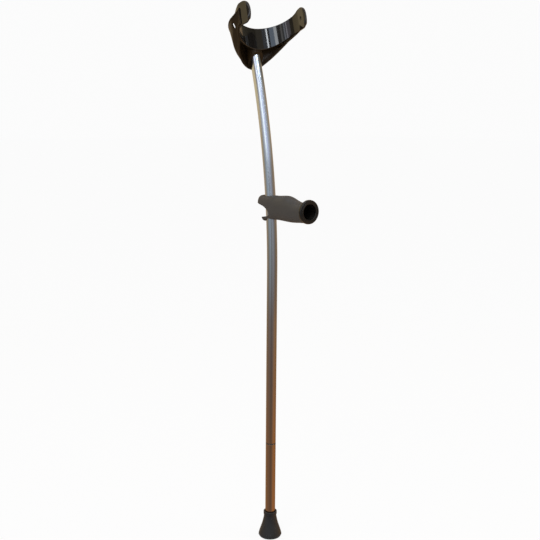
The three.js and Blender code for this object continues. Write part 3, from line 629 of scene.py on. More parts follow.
def skirt(steps=26):
    start = np.array((FOOT_R, SKIRT_START))
    pull_out = np.array((FOOT_R - 2 * MM, 15 * MM))
    pull_in = np.array((WAIST_R + 2 * MM, 27 * MM))
    end = np.array((WAIST_R, FOOT_TOP - COLLAR_HEIGHT))
    line = []
    for i in range(steps + 1):
        t = i / steps
        point = start * (1 - t) ** 3 + 3 * pull_out * t * (1 - t) ** 2
        point = point + 3 * pull_in * t * t * (1 - t) + end * t ** 3
        line.append(tuple(point))
    return line


def tread():
    """The foot's flat with its rings, from the middle outwards."""
    points = [(0, 0)]
    flat_r = FOOT_R - 3.5 * MM
    for radius in (FOOT_R / 2 - 2.5 * MM, FOOT_R - 4 * MM):
        inner = radius - TREAD_WIDTH
        points += [
            (inner, 0, 0.2 * MM),
            (inner, TREAD_DEPTH, 0.3 * MM),
            (radius, TREAD_DEPTH, 0.3 * MM),
            (radius, 0, 0.2 * MM),
        ]
    return points + [(flat_r, 0, 0.2 * MM)]


def ferrule():
    cavity_r = TUBE_R + GAP
    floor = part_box("ferrule_washer")[0].z - GAP
    outline = tread() + [(FOOT_R - 1.6 * MM, 0.9 * MM, 0.5 * MM)] + skirt()
    outline += [
        (WAIST_R + 0.1 * MM, FOOT_TOP - 7.4 * MM, 0.5 * MM),
        (COLLAR_R, FOOT_TOP - 6.4 * MM, 0.9 * MM),
        (COLLAR_R, FOOT_TOP - 0.2 * MM, 1.3 * MM),
        (cavity_r + 1.4 * MM, FOOT_TOP, 0.6 * MM),
        (cavity_r, FOOT_TOP - 0.7 * MM, 0.3 * MM),
        (cavity_r, floor),
        (0, floor),
    ]
    return turned("rubber_ferrule", outline, around=128, steps=5)


dress(ferrule(), FERRULE_RUBBER, "leg", "rubber", "ferrule", sharp_from=50)

# %% [markdown]
# ## The hand grip
# The grip is soft plastic moulded over a stiff core. It is made as a loft: one rounded outline per
# station along its length, fuller under the palm, drawn in at the neck, and rounded off at the
# rear nose. The notch behind the tube and the ways for the tube and the core are cut afterwards,
# and a fine voxel remesh with a little smoothing rolls every cut edge over, as a mould would.

# %% Loft of the grip
GRIP_FRONT = GRIP_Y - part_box("handle_grip")[0].y
GRIP_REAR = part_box("handle_grip")[1].y - GRIP_Y
GRIP_HALF_WIDTH = 16.8  # this and the sizes below it in this cell are in millimetres
GRIP_ABOVE = 22
GRIP_BELOW = 22.5
CROWN_AT = 50  # the highest place of its top, ahead of the tube
CROWN = 2.6
SWELL_AT = 76  # the palm swell, at the sides and below
SWELL = 1.8
SIDE_SWELL = 0.6
HUMP_LENGTH = 22  # how far the crown and the swell spread along the grip
NECK_START = 49
NECK_END = 90
NECK_DROP = 6.8
NECK_RISE = 2
NECK_IN = 0.8
NOSE_DROP = 5
NOSE_SHARE = 0.4  # the nose starts to drop at this share of the way to its end
TAB_DROP = 5
TAB_START = -6  # behind the tube
TAB_END = 9
PALM_POWER = 0.8  # 1 makes an oval section, less a squarer one
REAR_POWER = 0.55
SQUARE_UP_TO = 12
OVAL_FROM = 32


def ease(start, end, value):
    """0 before the start and 1 after the end, with a smooth step between them."""
    t = min(max((value - start) / (end - start), 0), 1)
    return t * t * (3 - 2 * t)


def grip_outline(ahead):
    """Half width, top, bottom and the section's power at a distance ahead of the tube."""
    rear = GRIP_REAR / MM

    def hump(middle):
        return math.exp(-(((ahead - middle) / HUMP_LENGTH) ** 2))

    nose = ease(rear * NOSE_SHARE, rear, -ahead)
    neck = ease(NECK_START, NECK_END, ahead)
    tab = ease(TAB_START, TAB_END, -ahead)
    # The rear end closes along a blunt curve, and never quite to a point.
    back = math.sqrt(max(1 - (max(-ahead, 0) / (rear + 0.2)) ** 4, 0.02))
    half = (GRIP_HALF_WIDTH + SIDE_SWELL * hump(SWELL_AT) - NECK_IN * neck) * back
    top = GRIP_ABOVE + CROWN * hump(CROWN_AT) - NECK_DROP * neck - NOSE_DROP * nose * nose
    bottom = -GRIP_BELOW - SWELL * hump(SWELL_AT) + NECK_RISE * neck - TAB_DROP * tab
    power = REAR_POWER + (PALM_POWER - REAR_POWER) * ease(SQUARE_UP_TO, OVAL_FROM, ahead)
    return half, top, bottom, power


def grip_loft(stations=90, around=96):
    verts = []
    for i in range(stations + 1):
        share = 0.5 - 0.5 * math.cos(math.pi * i / stations)
        ahead = (-GRIP_REAR + share * (GRIP_FRONT + GRIP_REAR)) / MM
        half, top, bottom, power = grip_outline(ahead)
        for j in range(around):
            angle = 2 * math.pi * j / around
            c, s = math.cos(angle), math.sin(angle)
            x = half * math.copysign(abs(c) ** power, c)
            z = (top + bottom) / 2 + math.copysign(abs(s) ** power, s) * (top - bottom) / 2
            verts.append((x * MM, -ahead * MM, z * MM))
    return mesh_object("hand_grip", verts, capped_faces(stations + 1, around), GRIP_FRAME)


# %% The notch behind the tube
NOTCH_ROOF = 7  # underside of the nose
NOTCH_TAB = -9  # rear face of the tab under the notch
NOTCH_REACH = 50  # the cut runs out below the grip
NOTCH_SIDE = 30
NOTCH_BEHIND = 9


def catmull(points, steps=6):
    """A smooth line through all the points."""
    line = []
    padded = [points[0]] + points + [points[-1]]
    for a, b, c, d in zip(padded, padded[1:], padded[2:], padded[3:]):
        a, b, c, d = map(np.array, (a, b, c, d))
        for k in range(steps):
            t = k / steps
            curve = 2 * b + (c - a) * t + (2 * a - 5 * b + 4 * c - d) * t * t
            line.append(0.5 * (curve + (3 * b - a - 3 * c + d) * t ** 3))
    return line + [np.array(points[-1], float)]


def rear_notch():
    """The notch, as (ahead, up) points in millimetres, run across the whole grip."""
    rear = GRIP_REAR / MM
    curve = [
        (-rear, NOTCH_ROOF), (-16, 4.5), (-2, 1), (9, -5.5), (12.5, -11),
        (9, -15.5), (0, -17.5), (NOTCH_TAB, -19),
    ]
    behind = -rear - NOTCH_BEHIND
    outline = [(behind, NOTCH_ROOF)] + catmull(curve)
    outline += [(NOTCH_TAB, -NOTCH_REACH), (behind, -NOTCH_REACH)]
    verts = []
    for side in (-NOTCH_SIDE, NOTCH_SIDE):
        verts += [(side * MM, -ahead * MM, up * MM) for ahead, up in outline]
    return mesh_object("notch", verts, capped_faces(2, len(outline)), GRIP_FRAME)


# %% Cut, remesh and smooth the grip
CORE_R = 14 * MM
CORE_START = 15 * MM
TUBE_WAY_R = TUBE_R + 0.6 * MM
TUBE_WAY_REACH = 60 * MM  # out of the grip above and below
SADDLE_ROOM_R = 9.3 * MM  # the saddle sits between the core and the tube
VOXEL = 0.6 * MM
SMOOTH_ROUNDS = 3


def soften(obj, voxel, rounds):
    mould = obj.modifiers.new("mould", "REMESH")
    mould.mode = "VOXEL"
    mould.voxel_size = voxel
    roll = obj.modifiers.new("roll", "SMOOTH")
    roll.factor = 0.5
    roll.iterations = rounds
    return apply_modifiers(obj)


def hand_grip():
    body = grip_loft()
    lean = GRIP_FRAME @ Matrix.Rotation(-GRIP_LEAN, 4, "X")
    tools = [
        rear_notch(),
        drill(TUBE_WAY_R, -TUBE_WAY_REACH, TUBE_WAY_REACH, lean, 96),
        drill(CORE_R + GAP, CORE_START - GAP, GRIP_FRONT * 1.1, GRIP_FRAME @ FORWARD, 96),
        drill(SADDLE_ROOM_R, 0, CORE_START, GRIP_FRAME @ FORWARD, 64),
    ]
    cut(body, tools)
    return soften(body, VOXEL, SMOOTH_ROUNDS)


dress(hand_grip(), SOFT_GRIP, "upper", "soft_grip", "handle_grip", sharp_from=60)

# %% [markdown]
# ## The core and the end ring
# A hard ring closes the front of the soft grip. Its mouth leads into the hollow core, where the
# head of the bolt can be reached with a long key.

# %% Core and end ring
MOUTH_R = 14.6 * MM
GROOVE = 0.5 * MM  # depth of the groove in the ring's front face
CORE_WALL = 2.2 * MM
CORE_LIP = 0.6 * MM  # what is left of the core's wall at its flared mouth
CORE_FLARE = 12 * MM
CORE_WEB = 6 * MM  # solid end of the core that the bolt pulls on
BOLT_HOLE_R = 3.3 * MM


def end_ring():
    low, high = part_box("handle_end_ring")
    start, end, rim = GRIP_Y - high.y, GRIP_Y - low.y, high.x
    outline = [
        (CORE_R + GAP, start, 0.2 * MM),
        (rim - 3.4 * MM, start, 0.8 * MM),
        (rim - 0.6 * MM, start + 2 * MM, 1.5 * MM),
        (rim, start + 4.6 * MM, 1.2 * MM),
        (rim - 0.5 * MM, end - 0.4 * MM, 1.8 * MM),
        (rim - 3.0 * MM, end, 0.6 * MM),
        (rim - 3.6 * MM, end - GROOVE, 0.4 * MM),
        (rim - 4.6 * MM, end - GROOVE, 0.4 * MM),
        (rim - 5.0 * MM, end, 0.3 * MM),
        (MOUTH_R, end, 1.4 * MM),
        (CORE_R + GAP, end - 3 * MM, 0.4 * MM),
    ]
    return turned("grip_end_ring", outline, GRIP_FRAME @ FORWARD, 128, steps=5)


def grip_core():
    end = GRIP_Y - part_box("handle_core")[0].y
    outline = [
        (BOLT_HOLE_R, CORE_START),
        (CORE_R, CORE_START, 0.4 * MM),
        (CORE_R, end),
        (CORE_R - CORE_LIP, end),
        (CORE_R - CORE_WALL, end - CORE_FLARE, 2 * MM),
        (CORE_R - CORE_WALL, CORE_START + CORE_WEB, 0.8 * MM),
        (BOLT_HOLE_R, CORE_START + CORE_WEB, 0.3 * MM),
    ]
    return turned("grip_core", outline, GRIP_FRAME @ FORWARD)


dress(end_ring(), HARD_PLASTIC, "upper", "hard_plastic", "handle_end_ring", sharp_from=50)
dress(grip_core(), HARD_PLASTIC, "upper", "hard_plastic", "handle_core")

# %% [markdown]
# ## The forearm cuff
# The cuff is one moulding with two thin walls. The band is the glossy inner face that the forearm
# lies against; it ends in two flat ears with a raised lip. The scoop is the outer wall, which
# runs round behind from ear to ear, narrows downwards and carries the socket for the tube.
#
# A thin wall is made here as two sheets over one middle surface, half the wall's thickness apart,
# which close in on each other at the border along a half circle. That gives the full round edge
# of a moulded wall with even, glossy faces.

# %% A thin moulded wall
def wall(name, surface, half_thickness, columns, rows):
    """surface(s, t) gives (point, normal) in millimetres, s in -1..1 and t in 0..1.
    half_thickness(edge distance, point, side) is in millimetres too."""
    spread = [-math.cos(math.pi * i / columns) for i in range(columns + 1)]
    climb = [0.5 - 0.5 * math.cos(math.pi * j / rows) for j in range(rows + 1)]
    point = np.zeros((columns + 1, rows + 1, 3))
    normal = np.zeros((columns + 1, rows + 1, 3))
    for i, s in enumerate(spread):
        for j, t in enumerate(climb):
            point[i, j], normal[i, j] = surface(s, t)
    along = np.zeros((columns + 1, rows + 1))
    along[1:] = np.cumsum(np.linalg.norm(np.diff(point, axis=0), axis=2), axis=0)
    up = np.zeros((columns + 1, rows + 1))
    up[:, 1:] = np.cumsum(np.linalg.norm(np.diff(point, axis=1), axis=2), axis=1)
    edge = np.minimum(np.minimum(along, along[-1] - along), np.minimum(up, up[:, -1:] - up))
    halves = {side: half_thickness(edge, point, side) for side in (-1, 1)}
    edge_round = (halves[-1] + halves[1]) / 2
    close = np.sqrt(np.clip(1 - (1 - np.clip(edge / edge_round, 0, 1)) ** 2, 0, 1))
    verts = []
    for side in (-1, 1):
        offset = side * halves[side] * close
        verts += list((point + normal * offset[..., None]).reshape(-1, 3) * MM)
    faces = []
    sheet = (columns + 1) * (rows + 1)
    for i in range(columns):
        for j in range(rows):
            a = i * (rows + 1) + j
            b = a + rows + 1
            faces.append((a, b, b + 1, a + 1))
            faces.append((sheet + a, sheet + a + 1, sheet + b + 1, sheet + b))
    return mesh_object(name, verts, faces, CUFF_FRAME)


# %% The band and its ears
BAND_WALL = 3.4  # the sizes of the band and the scoop are in millimetres
HALF_WIDTH = 66
HALF_DEPTH = 50
BAND_BACK = 13.5  # inner face of the band, ahead of the tube's axis
REACH = math.radians(119.5)
BAND_LOW = 31.5
BAND_LOW_RISE = 24
BAND_HIGH = 72.5
BAND_HIGH_RISE = 20
EAR_TAPER = 0.14  # the ears close in by this much for each millimetre forward
EAR_ROUND = 15  # length of the rounding at an ear's end
EAR_LIFT = 2.5  # the ears' tops rise this much above the band's sweep
LIFT_START = math.radians(75)
LIFT_END = math.radians(100)


def band_line(angle):
    """Middle line of the band seen along the tube, and its outward normal."""
    turn = min(max(angle, -math.pi / 2), math.pi / 2)
    straight = HALF_DEPTH * (abs(angle) - abs(turn))
    x = HALF_WIDTH * math.sin(turn) - math.copysign(EAR_TAPER * straight, angle)
    ahead = BAND_BACK + HALF_DEPTH * (1 - math.cos(turn)) + straight
    normal = Vector((HALF_DEPTH * math.sin(turn), -HALF_WIDTH * math.cos(turn))).normalized()
    return x + normal.x * BAND_WALL / 2, ahead + normal.y * BAND_WALL / 2, normal


def band_edges(angle):
    """Heights of the band's lower and upper edge."""
    turn = min(abs(angle), math.pi / 2)
    lift = EAR_LIFT * ease(LIFT_START, LIFT_END, abs(angle))
    low = BAND_LOW + BAND_LOW_RISE * math.sin(turn) ** 2
    high = BAND_HIGH + BAND_HIGH_RISE * (1 - math.cos(turn)) + lift
    return low, high


def band_surface(s, t):
    bow = 1 - math.sqrt(max(1 - (2 * t - 1) ** 2, 0))
    angle = s * (REACH - EAR_ROUND * bow / HALF_DEPTH)
    low, high = band_edges(angle)
    x, ahead, normal = band_line(angle)
    return (x, -ahead, low + t * (high - low)), (normal.x, -normal.y, 0)


# %% The ears' lips and dimples
EAR_FRONT = band_line(REACH)[1]
EAR_LIP = 8  # length of the raised lip at an ear's end
EAR_LIP_CREST = 6  # the lip is highest this far from the ear's end
EAR_LIP_RISE = 2
EAR_LIP_FALL = 2.5  # how much its bevel drops towards the end
DIMPLE_AHEAD = band_line(math.radians(100))[1]
DIMPLE_Z = 75
DIMPLE_HALF_WIDTH = 2.4
DIMPLE_HALF_HEIGHT = 3.6
DIMPLE_DEPTH = 1.3


def smooth_step(value):
    value = np.clip(value, 0, 1)
    return value * value * (3 - 2 * value)


def band_half_thickness(edge, point, side):
    """The ears end in a raised, bevelled lip, and have a shallow dimple next to the forearm."""
    far = EAR_FRONT + point[..., 1]
    climb = smooth_step((EAR_LIP - far) / (EAR_LIP - EAR_LIP_CREST))
    half = BAND_WALL / 2 + EAR_LIP_RISE * climb - EAR_LIP_FALL * np.clip(1 - far / EAR_LIP_CREST, 0, 1)
    if side < 0:
        across = (point[..., 1] + DIMPLE_AHEAD) / DIMPLE_HALF_WIDTH
        upright = (point[..., 2] - DIMPLE_Z) / DIMPLE_HALF_HEIGHT
        half = half - DIMPLE_DEPTH * np.exp(-(across ** 2 + upright ** 2) ** 2)
    return half


band = wall("cuff_band", band_surface, band_half_thickness, columns=220, rows=44)
dress(band, CUFF_PLASTIC, "upper", "cuff_plastic", "cuff", sharp_from=60)


# %% The scoop
SCOOP_WALL = 3
SCOOP_BACK = 13.5  # inner face of the scoop, behind the tube's axis
SCOOP_REACH = math.radians(91.5)
SCOOP_MERGE = math.radians(79)  # the scoop runs into the band from here on
MERGE_BITE = 0.5  # how far the scoop's middle lies outside the band where they join
MERGE_LOW = 2  # where they join, the scoop starts this far above the band's low edge
MERGE_HIGH = 8  # and ends this far below its high edge
FOOT_HALF_WIDTH = 42
SPREAD = 0.51  # half width gained for each millimetre of height
FOOT_HALF_DEPTH = 15
DEEPENING = 0.8
SCOOP_LOW = 1
SCOOP_LOW_RISE = 49
SCOOP_HIGH = 56.5
SCOOP_HIGH_RISE = 18.5
CURL = 13  # the low edge curls in over this height
CURL_IN = 6.4
CURL_FORWARD = 7
RIM = 5  # the rolled rim fades out this far from the edge
RIM_FADE = 2.5
RIM_RISE = 0.7


def scoop_point(angle, height):
    half_width = FOOT_HALF_WIDTH + SPREAD * height - SCOOP_WALL / 2
    half_depth = FOOT_HALF_DEPTH + DEEPENING * height - SCOOP_WALL / 2
    merged = ease(SCOOP_MERGE, SCOOP_REACH, abs(angle))
    curl = 1 - ease(0, CURL, height - scoop_edges(angle)[0])
    curl *= math.sin(angle) ** 2 * (1 - merged)
    x = half_width * math.sin(angle) - math.copysign(CURL_IN * curl, angle)
    ahead = -SCOOP_BACK + SCOOP_WALL / 2 + half_depth * (1 - math.cos(angle)) + CURL_FORWARD * curl
    band_x, band_ahead, normal = band_line(angle)
    band_x += normal.x * (BAND_WALL / 2 + MERGE_BITE)
    band_ahead += normal.y * (BAND_WALL / 2 + MERGE_BITE)
    return np.array((x + (band_x - x) * merged, -ahead - (band_ahead - ahead) * merged, height))


def scoop_edges(angle):
    """Heights of the scoop's edges, which run into the band's face near the ears."""
    merged = ease(SCOOP_MERGE, SCOOP_REACH, abs(angle))
    low = SCOOP_LOW + SCOOP_LOW_RISE * (1 - math.cos(angle))
    high = SCOOP_HIGH + SCOOP_HIGH_RISE * math.sin(angle) ** 2
    band_low, band_high = band_edges(angle)
    low += (max(band_low + MERGE_LOW, low) - low) * merged
    high += (band_high - MERGE_HIGH - high) * merged
    return low, high


def scoop_surface(s, t):
    angle = s * SCOOP_REACH
    low, high = scoop_edges(angle)
    height = low + t * (high - low)
    step = 1e-3
    across = scoop_point(angle + step, height) - scoop_point(angle - step, height)
    upright = scoop_point(angle, height + 0.1) - scoop_point(angle, height - 0.1)
    normal = np.cross(across, upright)
    return scoop_point(angle, height), -normal / np.linalg.norm(normal)


def scoop_half_thickness(edge, point, side):
    """A rolled rim stiffens the scoop's edges."""
    rim = smooth_step((RIM - edge) / RIM_FADE)
    return SCOOP_WALL / 2 + (RIM_RISE * rim if side > 0 else 0)


# %% A slot in each side, then the scoop
SLOT_AHEAD = 44
SLOT_LOW = 56.5
SLOT_HIGH = 66
SLOT_R = 3


def scoop_slot(side, around=24):
    """A tool with round ends that runs out through one side of the scoop."""
    verts = []
    for x in (HALF_WIDTH / 2, HALF_WIDTH * 1.5):
        for j in range(around):
            angle = 2 * math.pi * j / around
            middle = SLOT_HIGH - SLOT_R if math.sin(angle) > 0 else SLOT_LOW + SLOT_R
            place = (side * x, -SLOT_AHEAD + SLOT_R * math.cos(angle), middle + SLOT_R * math.sin(angle))
            verts.append(Vector(place) * MM)
    return mesh_object("slot", verts, capped_faces(2, around), CUFF_FRAME)


scoop = wall("cuff_scoop", scoop_surface, scoop_half_thickness, columns=200, rows=44)
cut(scoop, [scoop_slot(-1), scoop_slot(1)])
dress(scoop, CUFF_BACK, "upper", "cuff_plastic", "cuff", sharp_from=60)

# %% [markdown]
# The socket is a boss between the two walls that the tube pushes into. Its lip slopes: it starts
# low at the back and ends high in front, just under the band. Two ribs tie the band to the scoop.

# %% Socket and ribs
SOCKET_R = 15 * MM
SOCKET_FOOT = 1 * MM
SOCKET_TOP = 53.8 * MM
SOCKET_FRONT = 13.2 * MM  # flat face under the band, ahead of the tube's axis
SOCKET_LIP_Z = 15.5 * MM
SOCKET_SLOPE = math.atan2(25, 30)
SCREW_SEAT = 14 * MM
SCREW_SEAT_R = 4.5 * MM
PAST = 40 * MM  # drills run out of the boss this far
FRONT_CUTTER = ((-0.03, -0.04, -0.02), (0.03, -SOCKET_FRONT, 0.1))  # lower and upper corner
UNDER_CUTTER = ((-0.03, -0.045, -0.06), (0.03, 0.045, 0))
RIB_Z = 48  # in millimetres, like the walls that it ties
RIB_ANGLE = 46  # degrees from the middle, where a rib leaves the band
RIB_END_ANGLE = 52  # where it meets the scoop
RIB_HALF_WALL = 1.3 * MM
RIB_HALF_HEIGHT = 7.5 * MM


def slab(name, low, high, place):
    verts = [(x, y, z) for x in (low[0], high[0]) for y in (low[1], high[1]) for z in (low[2], high[2])]
    faces = [(0, 1, 3, 2), (4, 6, 7, 5), (0, 4, 5, 1), (2, 3, 7, 6), (0, 2, 6, 4), (1, 5, 7, 3)]
    return mesh_object(name, verts, faces, place)


def socket():
    foot, top = SOCKET_FOOT, SOCKET_TOP
    outline = [(0, foot), (SOCKET_R, foot), (SOCKET_R, top, 1.5 * MM), (0, top)]
    boss = turned("cuff_socket", outline, CUFF_FRAME)
    lip = Matrix.Translation((0, 0, SOCKET_LIP_Z)) @ Matrix.Rotation(-SOCKET_SLOPE, 4, "X")
    cut(boss, [
        slab("front", *FRONT_CUTTER, CUFF_FRAME),
        slab("under", *UNDER_CUTTER, CUFF_FRAME @ lip),
        drill(TUBE_R + GAP, -PAST, TUBE_TAIL + GAP, CUFF_FRAME, 96),
        drill(SCREW_HOLE_R, 0, PAST, SCREW_PLACE),
        drill(SCREW_SEAT_R, SCREW_SEAT, PAST, SCREW_PLACE),
    ])
    return round_edges(boss, 0.7 * MM, least_angle=50)


def rib(side):
    x, ahead, normal = band_line(side * math.radians(RIB_ANGLE))
    start = Vector((x + normal.x, -ahead - normal.y, RIB_Z)) * MM
    end = Vector(scoop_point(side * math.radians(RIB_END_ANGLE), RIB_Z)) * MM
    run = end - start
    place = CUFF_FRAME @ Matrix.Translation(start) @ Matrix.Rotation(math.atan2(run.y, run.x), 4, "Z")
    low = (0, -RIB_HALF_WALL, -RIB_HALF_HEIGHT)
    high = (run.length, RIB_HALF_WALL, RIB_HALF_HEIGHT)
    name = "cuff_rib_" + ("right" if side > 0 else "left")
    return round_edges(slab(name, low, high, place), 0.6 * MM)


dress(socket(), CUFF_BACK, "upper", "cuff_plastic", "cuff", sharp_from=40)
for side in (-1, 1):
    dress(rib(side), CUFF_BACK, "upper", "cuff_plastic", "cuff", sharp_from=60)

# %% [markdown]
# ## Small hardware
# The bolt with its washer, saddle and nut, the cuff's screw, the rivet, the spring and its button,
# the ferrule's washer, the guide and the plugs have their true shape already. They are nearly all
# hidden, so they keep the frame's solids and only get a finish.

# %% Finishes for the small hardware
HARDWARE = {
    "handle_bolt": ZINC_STEEL,
    "handle_washer": ZINC_STEEL,
    "handle_nut": ZINC_STEEL,
    "cuff_screw": ZINC_STEEL,
    "sleeve_rivet": ZINC_STEEL,
    "snap_spring": ZINC_STEEL,
    "snap_button": ZINC_STEEL,
    "ferrule_washer": ZINC_STEEL,
    "handle_saddle": NYLON,
    "tube_top_plug": NYLON,
    "leg_top_guide": NYLON,
    "leg_end_plug": NYLON,
}
for node, material in HARDWARE.items():
    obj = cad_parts[node]
    obj.data.materials.clear()
    obj.data.materials.append(material)
    shade(obj, 35)
print("finished", len(HARDWARE), "small pieces")

# %% [markdown]
# ## Studio
# A pale floor in a white room, lit by two large soft panels. The white that the camera sees comes
# from the floor's and the room's own colour, and the floor keeps a soft shadow.

# %% Floor and room
def shown_rays(nodes, links):
    """1 for rays that the camera or a reflection sends, 0 for the rest."""
    path = nodes.new("ShaderNodeLightPath")
    first = math_node(nodes, links, "MAXIMUM", path.outputs["Is Camera Ray"], path.outputs["Is Glossy Ray"])
    return math_node(nodes, links, "MAXIMUM", first, path.outputs["Is Transmission Ray"])


FLOOR_HALF = 30
FLOOR_TONE = 0.86
FLOOR_GLOW = 0.92  # share of the floor's look that is its own white


def floor_material():
    material = bpy.data.materials.new("studio_floor")
    material.use_nodes = True
    nodes, links = material.node_tree.nodes, material.node_tree.links
    shader = nodes["Principled BSDF"]
    shader.inputs["Base Color"].default_value = (FLOOR_TONE, FLOOR_TONE, FLOOR_TONE, 1)
    shader.inputs["Roughness"].default_value = 0.9
    glow = nodes.new("ShaderNodeEmission")
    glow.inputs["Color"].default_value = (1, 1, 1, 1)
    mix = nodes.new("ShaderNodeMixShader")
    links.new(math_node(nodes, links, "MULTIPLY", shown_rays(nodes, links), FLOOR_GLOW), mix.inputs["Fac"])
    links.new(shader.outputs["BSDF"], mix.inputs[1])
    links.new(glow.outputs["Emission"], mix.inputs[2])
    links.new(mix.outputs["Shader"], nodes["Material Output"].inputs["Surface"])
    return material


corners = [(x * FLOOR_HALF, y * FLOOR_HALF, 0) for x, y in ((-1, -1), (1, -1), (1, 1), (-1, 1))]
floor = mesh_object("floor", corners, [(0, 1, 2, 3)])
floor.data.materials.append(floor_material())
print("floor is", 2 * FLOOR_HALF, "m wide")

# %% Room light
ROOM_LIGHT = 0.62  # how strongly the room lights the crutch
ROOM_SHOWN = 0.97  # how bright it looks
world = bpy.data.worlds.new("white_room")
bpy.context.scene.world = world
world.use_nodes = True
room_nodes, room_links = world.node_tree.nodes, world.node_tree.links
room = room_nodes["Background"]
room.inputs["Color"].default_value = (1, 1, 1, 1)
rays = shown_rays(room_nodes, room_links)
extra = math_node(room_nodes, room_links, "MULTIPLY", rays, ROOM_SHOWN - ROOM_LIGHT)
room_links.new(math_node(room_nodes, room_links, "ADD", extra, ROOM_LIGHT), room.inputs["Strength"])
print("room lights at", ROOM_LIGHT, "and looks", ROOM_SHOWN, "bright")


# %% Light panels
PANEL_TARGET = Vector((0, 0, 0.6))


def panel(name, place, width, height, power):
    light = bpy.data.lights.new(name, "AREA")
    light.shape = "RECTANGLE"
    light.size = width
    light.size_y = height
    light.energy = power
    lamp = bpy.data.objects.new(name, light)
    lamp.location = place
    direction = PANEL_TARGET - Vector(place)
    lamp.rotation_euler = direction.to_track_quat("-Z", "Y").to_euler()
    lamp.visible_glossy = False
    bpy.context.scene.collection.objects.link(lamp)
    print(name, "gives", power, "W")


panel("key_panel", (-2.2, -1.2, 2.2), width=1.2, height=1.6, power=36)
panel("fill_panel", (2.0, -1.8, 1.6), width=1.4, height=1.4, power=16)

# %% [markdown]
# A satin tube and a glossy black cuff show little of their own: what the eye sees on them is the
# room. Product studios hang cards and strip lights round such an object, and black cards between
# them, to draw lines on it. The same is done here with one mesh that only reflections can see: a
# round wall in three tiers and a disc on the floor, cut into upright strips. Beige cards behind
# give the tube its warm edges, and narrow window strips in front give the cuff its bright streaks.
# Each strip is (end of the strip in degrees, colour); degrees run from straight behind on the
# left, through the front at 0, to straight behind on the right.

# %% Strips that only reflections see
FLOOR_STRIPS = [
    (-140, (0.75, 0.55, 0.33)), (-110, (0.65, 0.46, 0.33)), (-85, (0.60, 0.45, 0.38)),
    (-60, (0.50, 0.42, 0.38)), (-15, (0.40, 0.33, 0.31)), (8, (0.65, 0.50, 0.40)),
    (40, (1.00, 0.63, 0.38)), (75, (0.95, 0.55, 0.25)), (180, (0.67, 0.40, 0.20)),
]
LOW_STRIPS = [
    (-140, (0.80, 0.60, 0.40)), (-112, (0.56, 0.49, 0.38)), (-85, (0.55, 0.62, 0.65)),
    (-58, (0.65, 0.75, 0.85)), (-36, (0.42, 0.44, 0.46)), (-10, (0.60, 0.65, 0.72)),
    (12, (0.55, 0.55, 0.60)), (35, (0.42, 0.38, 0.33)), (75, (0.52, 0.36, 0.24)),
    (180, (0.67, 0.49, 0.32)),
]
MIDDLE_STRIPS = [
    (-140, (0.95, 0.76, 0.48)), (-108, (0.85, 0.66, 0.45)), (-85, (0.85, 0.82, 0.86)),
    (-65, (1.30, 1.35, 1.45)), (-38, (2.40, 2.60, 2.70)), (-5, (1.30, 1.40, 1.80)),
    (10, (0.95, 1.00, 1.10)), (40, (0.75, 0.78, 0.80)), (65, (0.70, 0.60, 0.50)),
    (180, (0.74, 0.53, 0.32)),
]
HIGH_STRIPS = [
    (-104, (1.25, 1.00, 0.58)), (-85, (0.26, 0.23, 0.17)), (-69, (1.20, 1.15, 1.30)),
    (-64, (3.60, 3.60, 4.00)), (-59, (0.90, 0.95, 1.10)), (-54, (2.60, 2.80, 3.20)),
    (-47, (0.60, 0.65, 0.70)), (-40, (1.60, 1.60, 1.60)), (-26, (0.30, 0.32, 0.36)),
    (-15, (6.50, 6.90, 7.30)), (1, (2.10, 2.60, 3.30)), (7.5, (0.20, 0.24, 0.30)),
    (12, (15.0, 16.0, 17.0)), (25, (0.60, 0.68, 0.82)), (45, (0.45, 0.41, 0.33)),
    (100, (0.22, 0.20, 0.15)), (180, (0.70, 0.50, 0.30)),
]


# %% Tiers of strips
WALL_R = 2.0
FLOOR_LIFT = 0.001  # the disc lies this far above the floor
CEILING = 3.2
MIDDLE_RADIUS = 0.03  # the disc is open in the middle, under the ferrule
CARD_ANGLE = 8  # a strip is cut into cards of about this many degrees


def ring_of_strips(strips, low, high):
    """Corners of four-cornered cards, and a colour for each card. low and high give (radius,
    height) at an angle."""
    corners, tones = [], []
    start = -180
    for end, tone in strips:
        pieces = max(1, round((end - start) / CARD_ANGLE))
        for k in range(pieces):
            left = math.radians(start + (end - start) * k / pieces)
            right = math.radians(start + (end - start) * (k + 1) / pieces)
            for angle, edge in ((left, low), (right, low), (right, high), (left, high)):
                radius, height = edge(angle)
                corners.append((radius * math.sin(angle), -radius * math.cos(angle), height))
            tones.append(tone)
        start = end
    return corners, tones


def border(height, tilt=0, radius=WALL_R):
    """A line round the crutch that is higher in front, and lower behind, by its tilt."""
    return lambda angle: (radius, height + tilt * math.cos(angle))


GROUND = border(FLOOR_LIFT)
MIDDLE_BORDER = border(1.00, tilt=0.20)
WINDOW_BORDER = border(1.35, tilt=0.75)
RINGS = [
    (FLOOR_STRIPS, border(FLOOR_LIFT, radius=MIDDLE_RADIUS), GROUND),
    (LOW_STRIPS, GROUND, MIDDLE_BORDER),
    (MIDDLE_STRIPS, MIDDLE_BORDER, WINDOW_BORDER),
    (HIGH_STRIPS, WINDOW_BORDER, border(CEILING)),
]


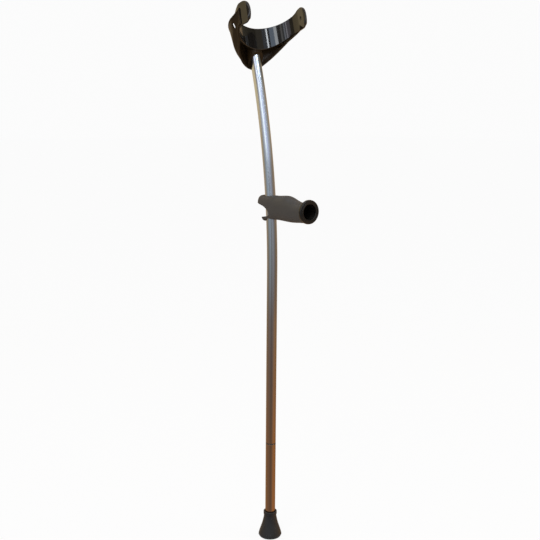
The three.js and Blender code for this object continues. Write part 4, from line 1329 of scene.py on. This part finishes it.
# %% The cards as one mesh
def strip_material():
    material = bpy.data.materials.new("strip_light")
    material.use_nodes = True
    nodes, links = material.node_tree.nodes, material.node_tree.links
    nodes.remove(nodes["Principled BSDF"])
    tone = nodes.new("ShaderNodeAttribute")
    tone.attribute_name = "tone"
    glow = nodes.new("ShaderNodeEmission")
    links.new(tone.outputs["Color"], glow.inputs["Color"])
    links.new(glow.outputs["Emission"], nodes["Material Output"].inputs["Surface"])
    return material


def reflection_cards():
    verts, tones = [], []
    for strips, low, high in RINGS:
        more_verts, more_tones = ring_of_strips(strips, low, high)
        verts += more_verts
        tones += more_tones
    faces = [tuple(range(4 * i, 4 * i + 4)) for i in range(len(tones))]
    mesh = bpy.data.meshes.new("reflection_cards")
    mesh.from_pydata(verts, [], faces)
    colours = mesh.attributes.new("tone", "FLOAT_COLOR", "CORNER")
    flat = [channel for tone in tones for _ in range(4) for channel in (*tone, 1)]
    colours.data.foreach_set("color", flat)
    mesh.materials.append(strip_material())
    cards = bpy.data.objects.new("reflection_cards", mesh)
    bpy.context.scene.collection.objects.link(cards)
    for kind in ("camera", "diffuse", "transmission", "volume_scatter", "shadow"):
        setattr(cards, "visible_" + kind, False)
    return cards


cards = reflection_cards()
print("reflection cards:", len(cards.data.polygons), "faces")

# %% [markdown]
# ## Camera
# The camera stands about a metre and a half away, in front and to the left, a little higher than
# the grip, and looks down by some ten degrees. So the grip points to the right and the cuff's
# opening shows.

# %% Camera
SENSOR = 36  # millimetres
FOCAL = 54.666667
STAND = Vector((-0.95415, -1.22126, 0.83569))
HEADING = 0.6605366  # of the view, clockwise from straight back (+Y), seen from above
LOOK_DOWN = 0.18231
ROLL = 0.00781

lens = bpy.data.cameras.new("studio_camera")
lens.lens = FOCAL
lens.sensor_width = SENSOR
camera = bpy.data.objects.new("studio_camera", lens)
turn = Matrix.Rotation(-HEADING, 4, "Z") @ Matrix.Rotation(math.pi / 2 - LOOK_DOWN, 4, "X")
camera.matrix_world = Matrix.Translation(STAND) @ turn @ Matrix.Rotation(ROLL, 4, "Z")
bpy.context.scene.collection.objects.link(camera)
bpy.context.scene.camera = camera
bpy.context.scene.view_settings.view_transform = "Standard"
print("camera stands at", [round(c, 3) for c in camera.location])
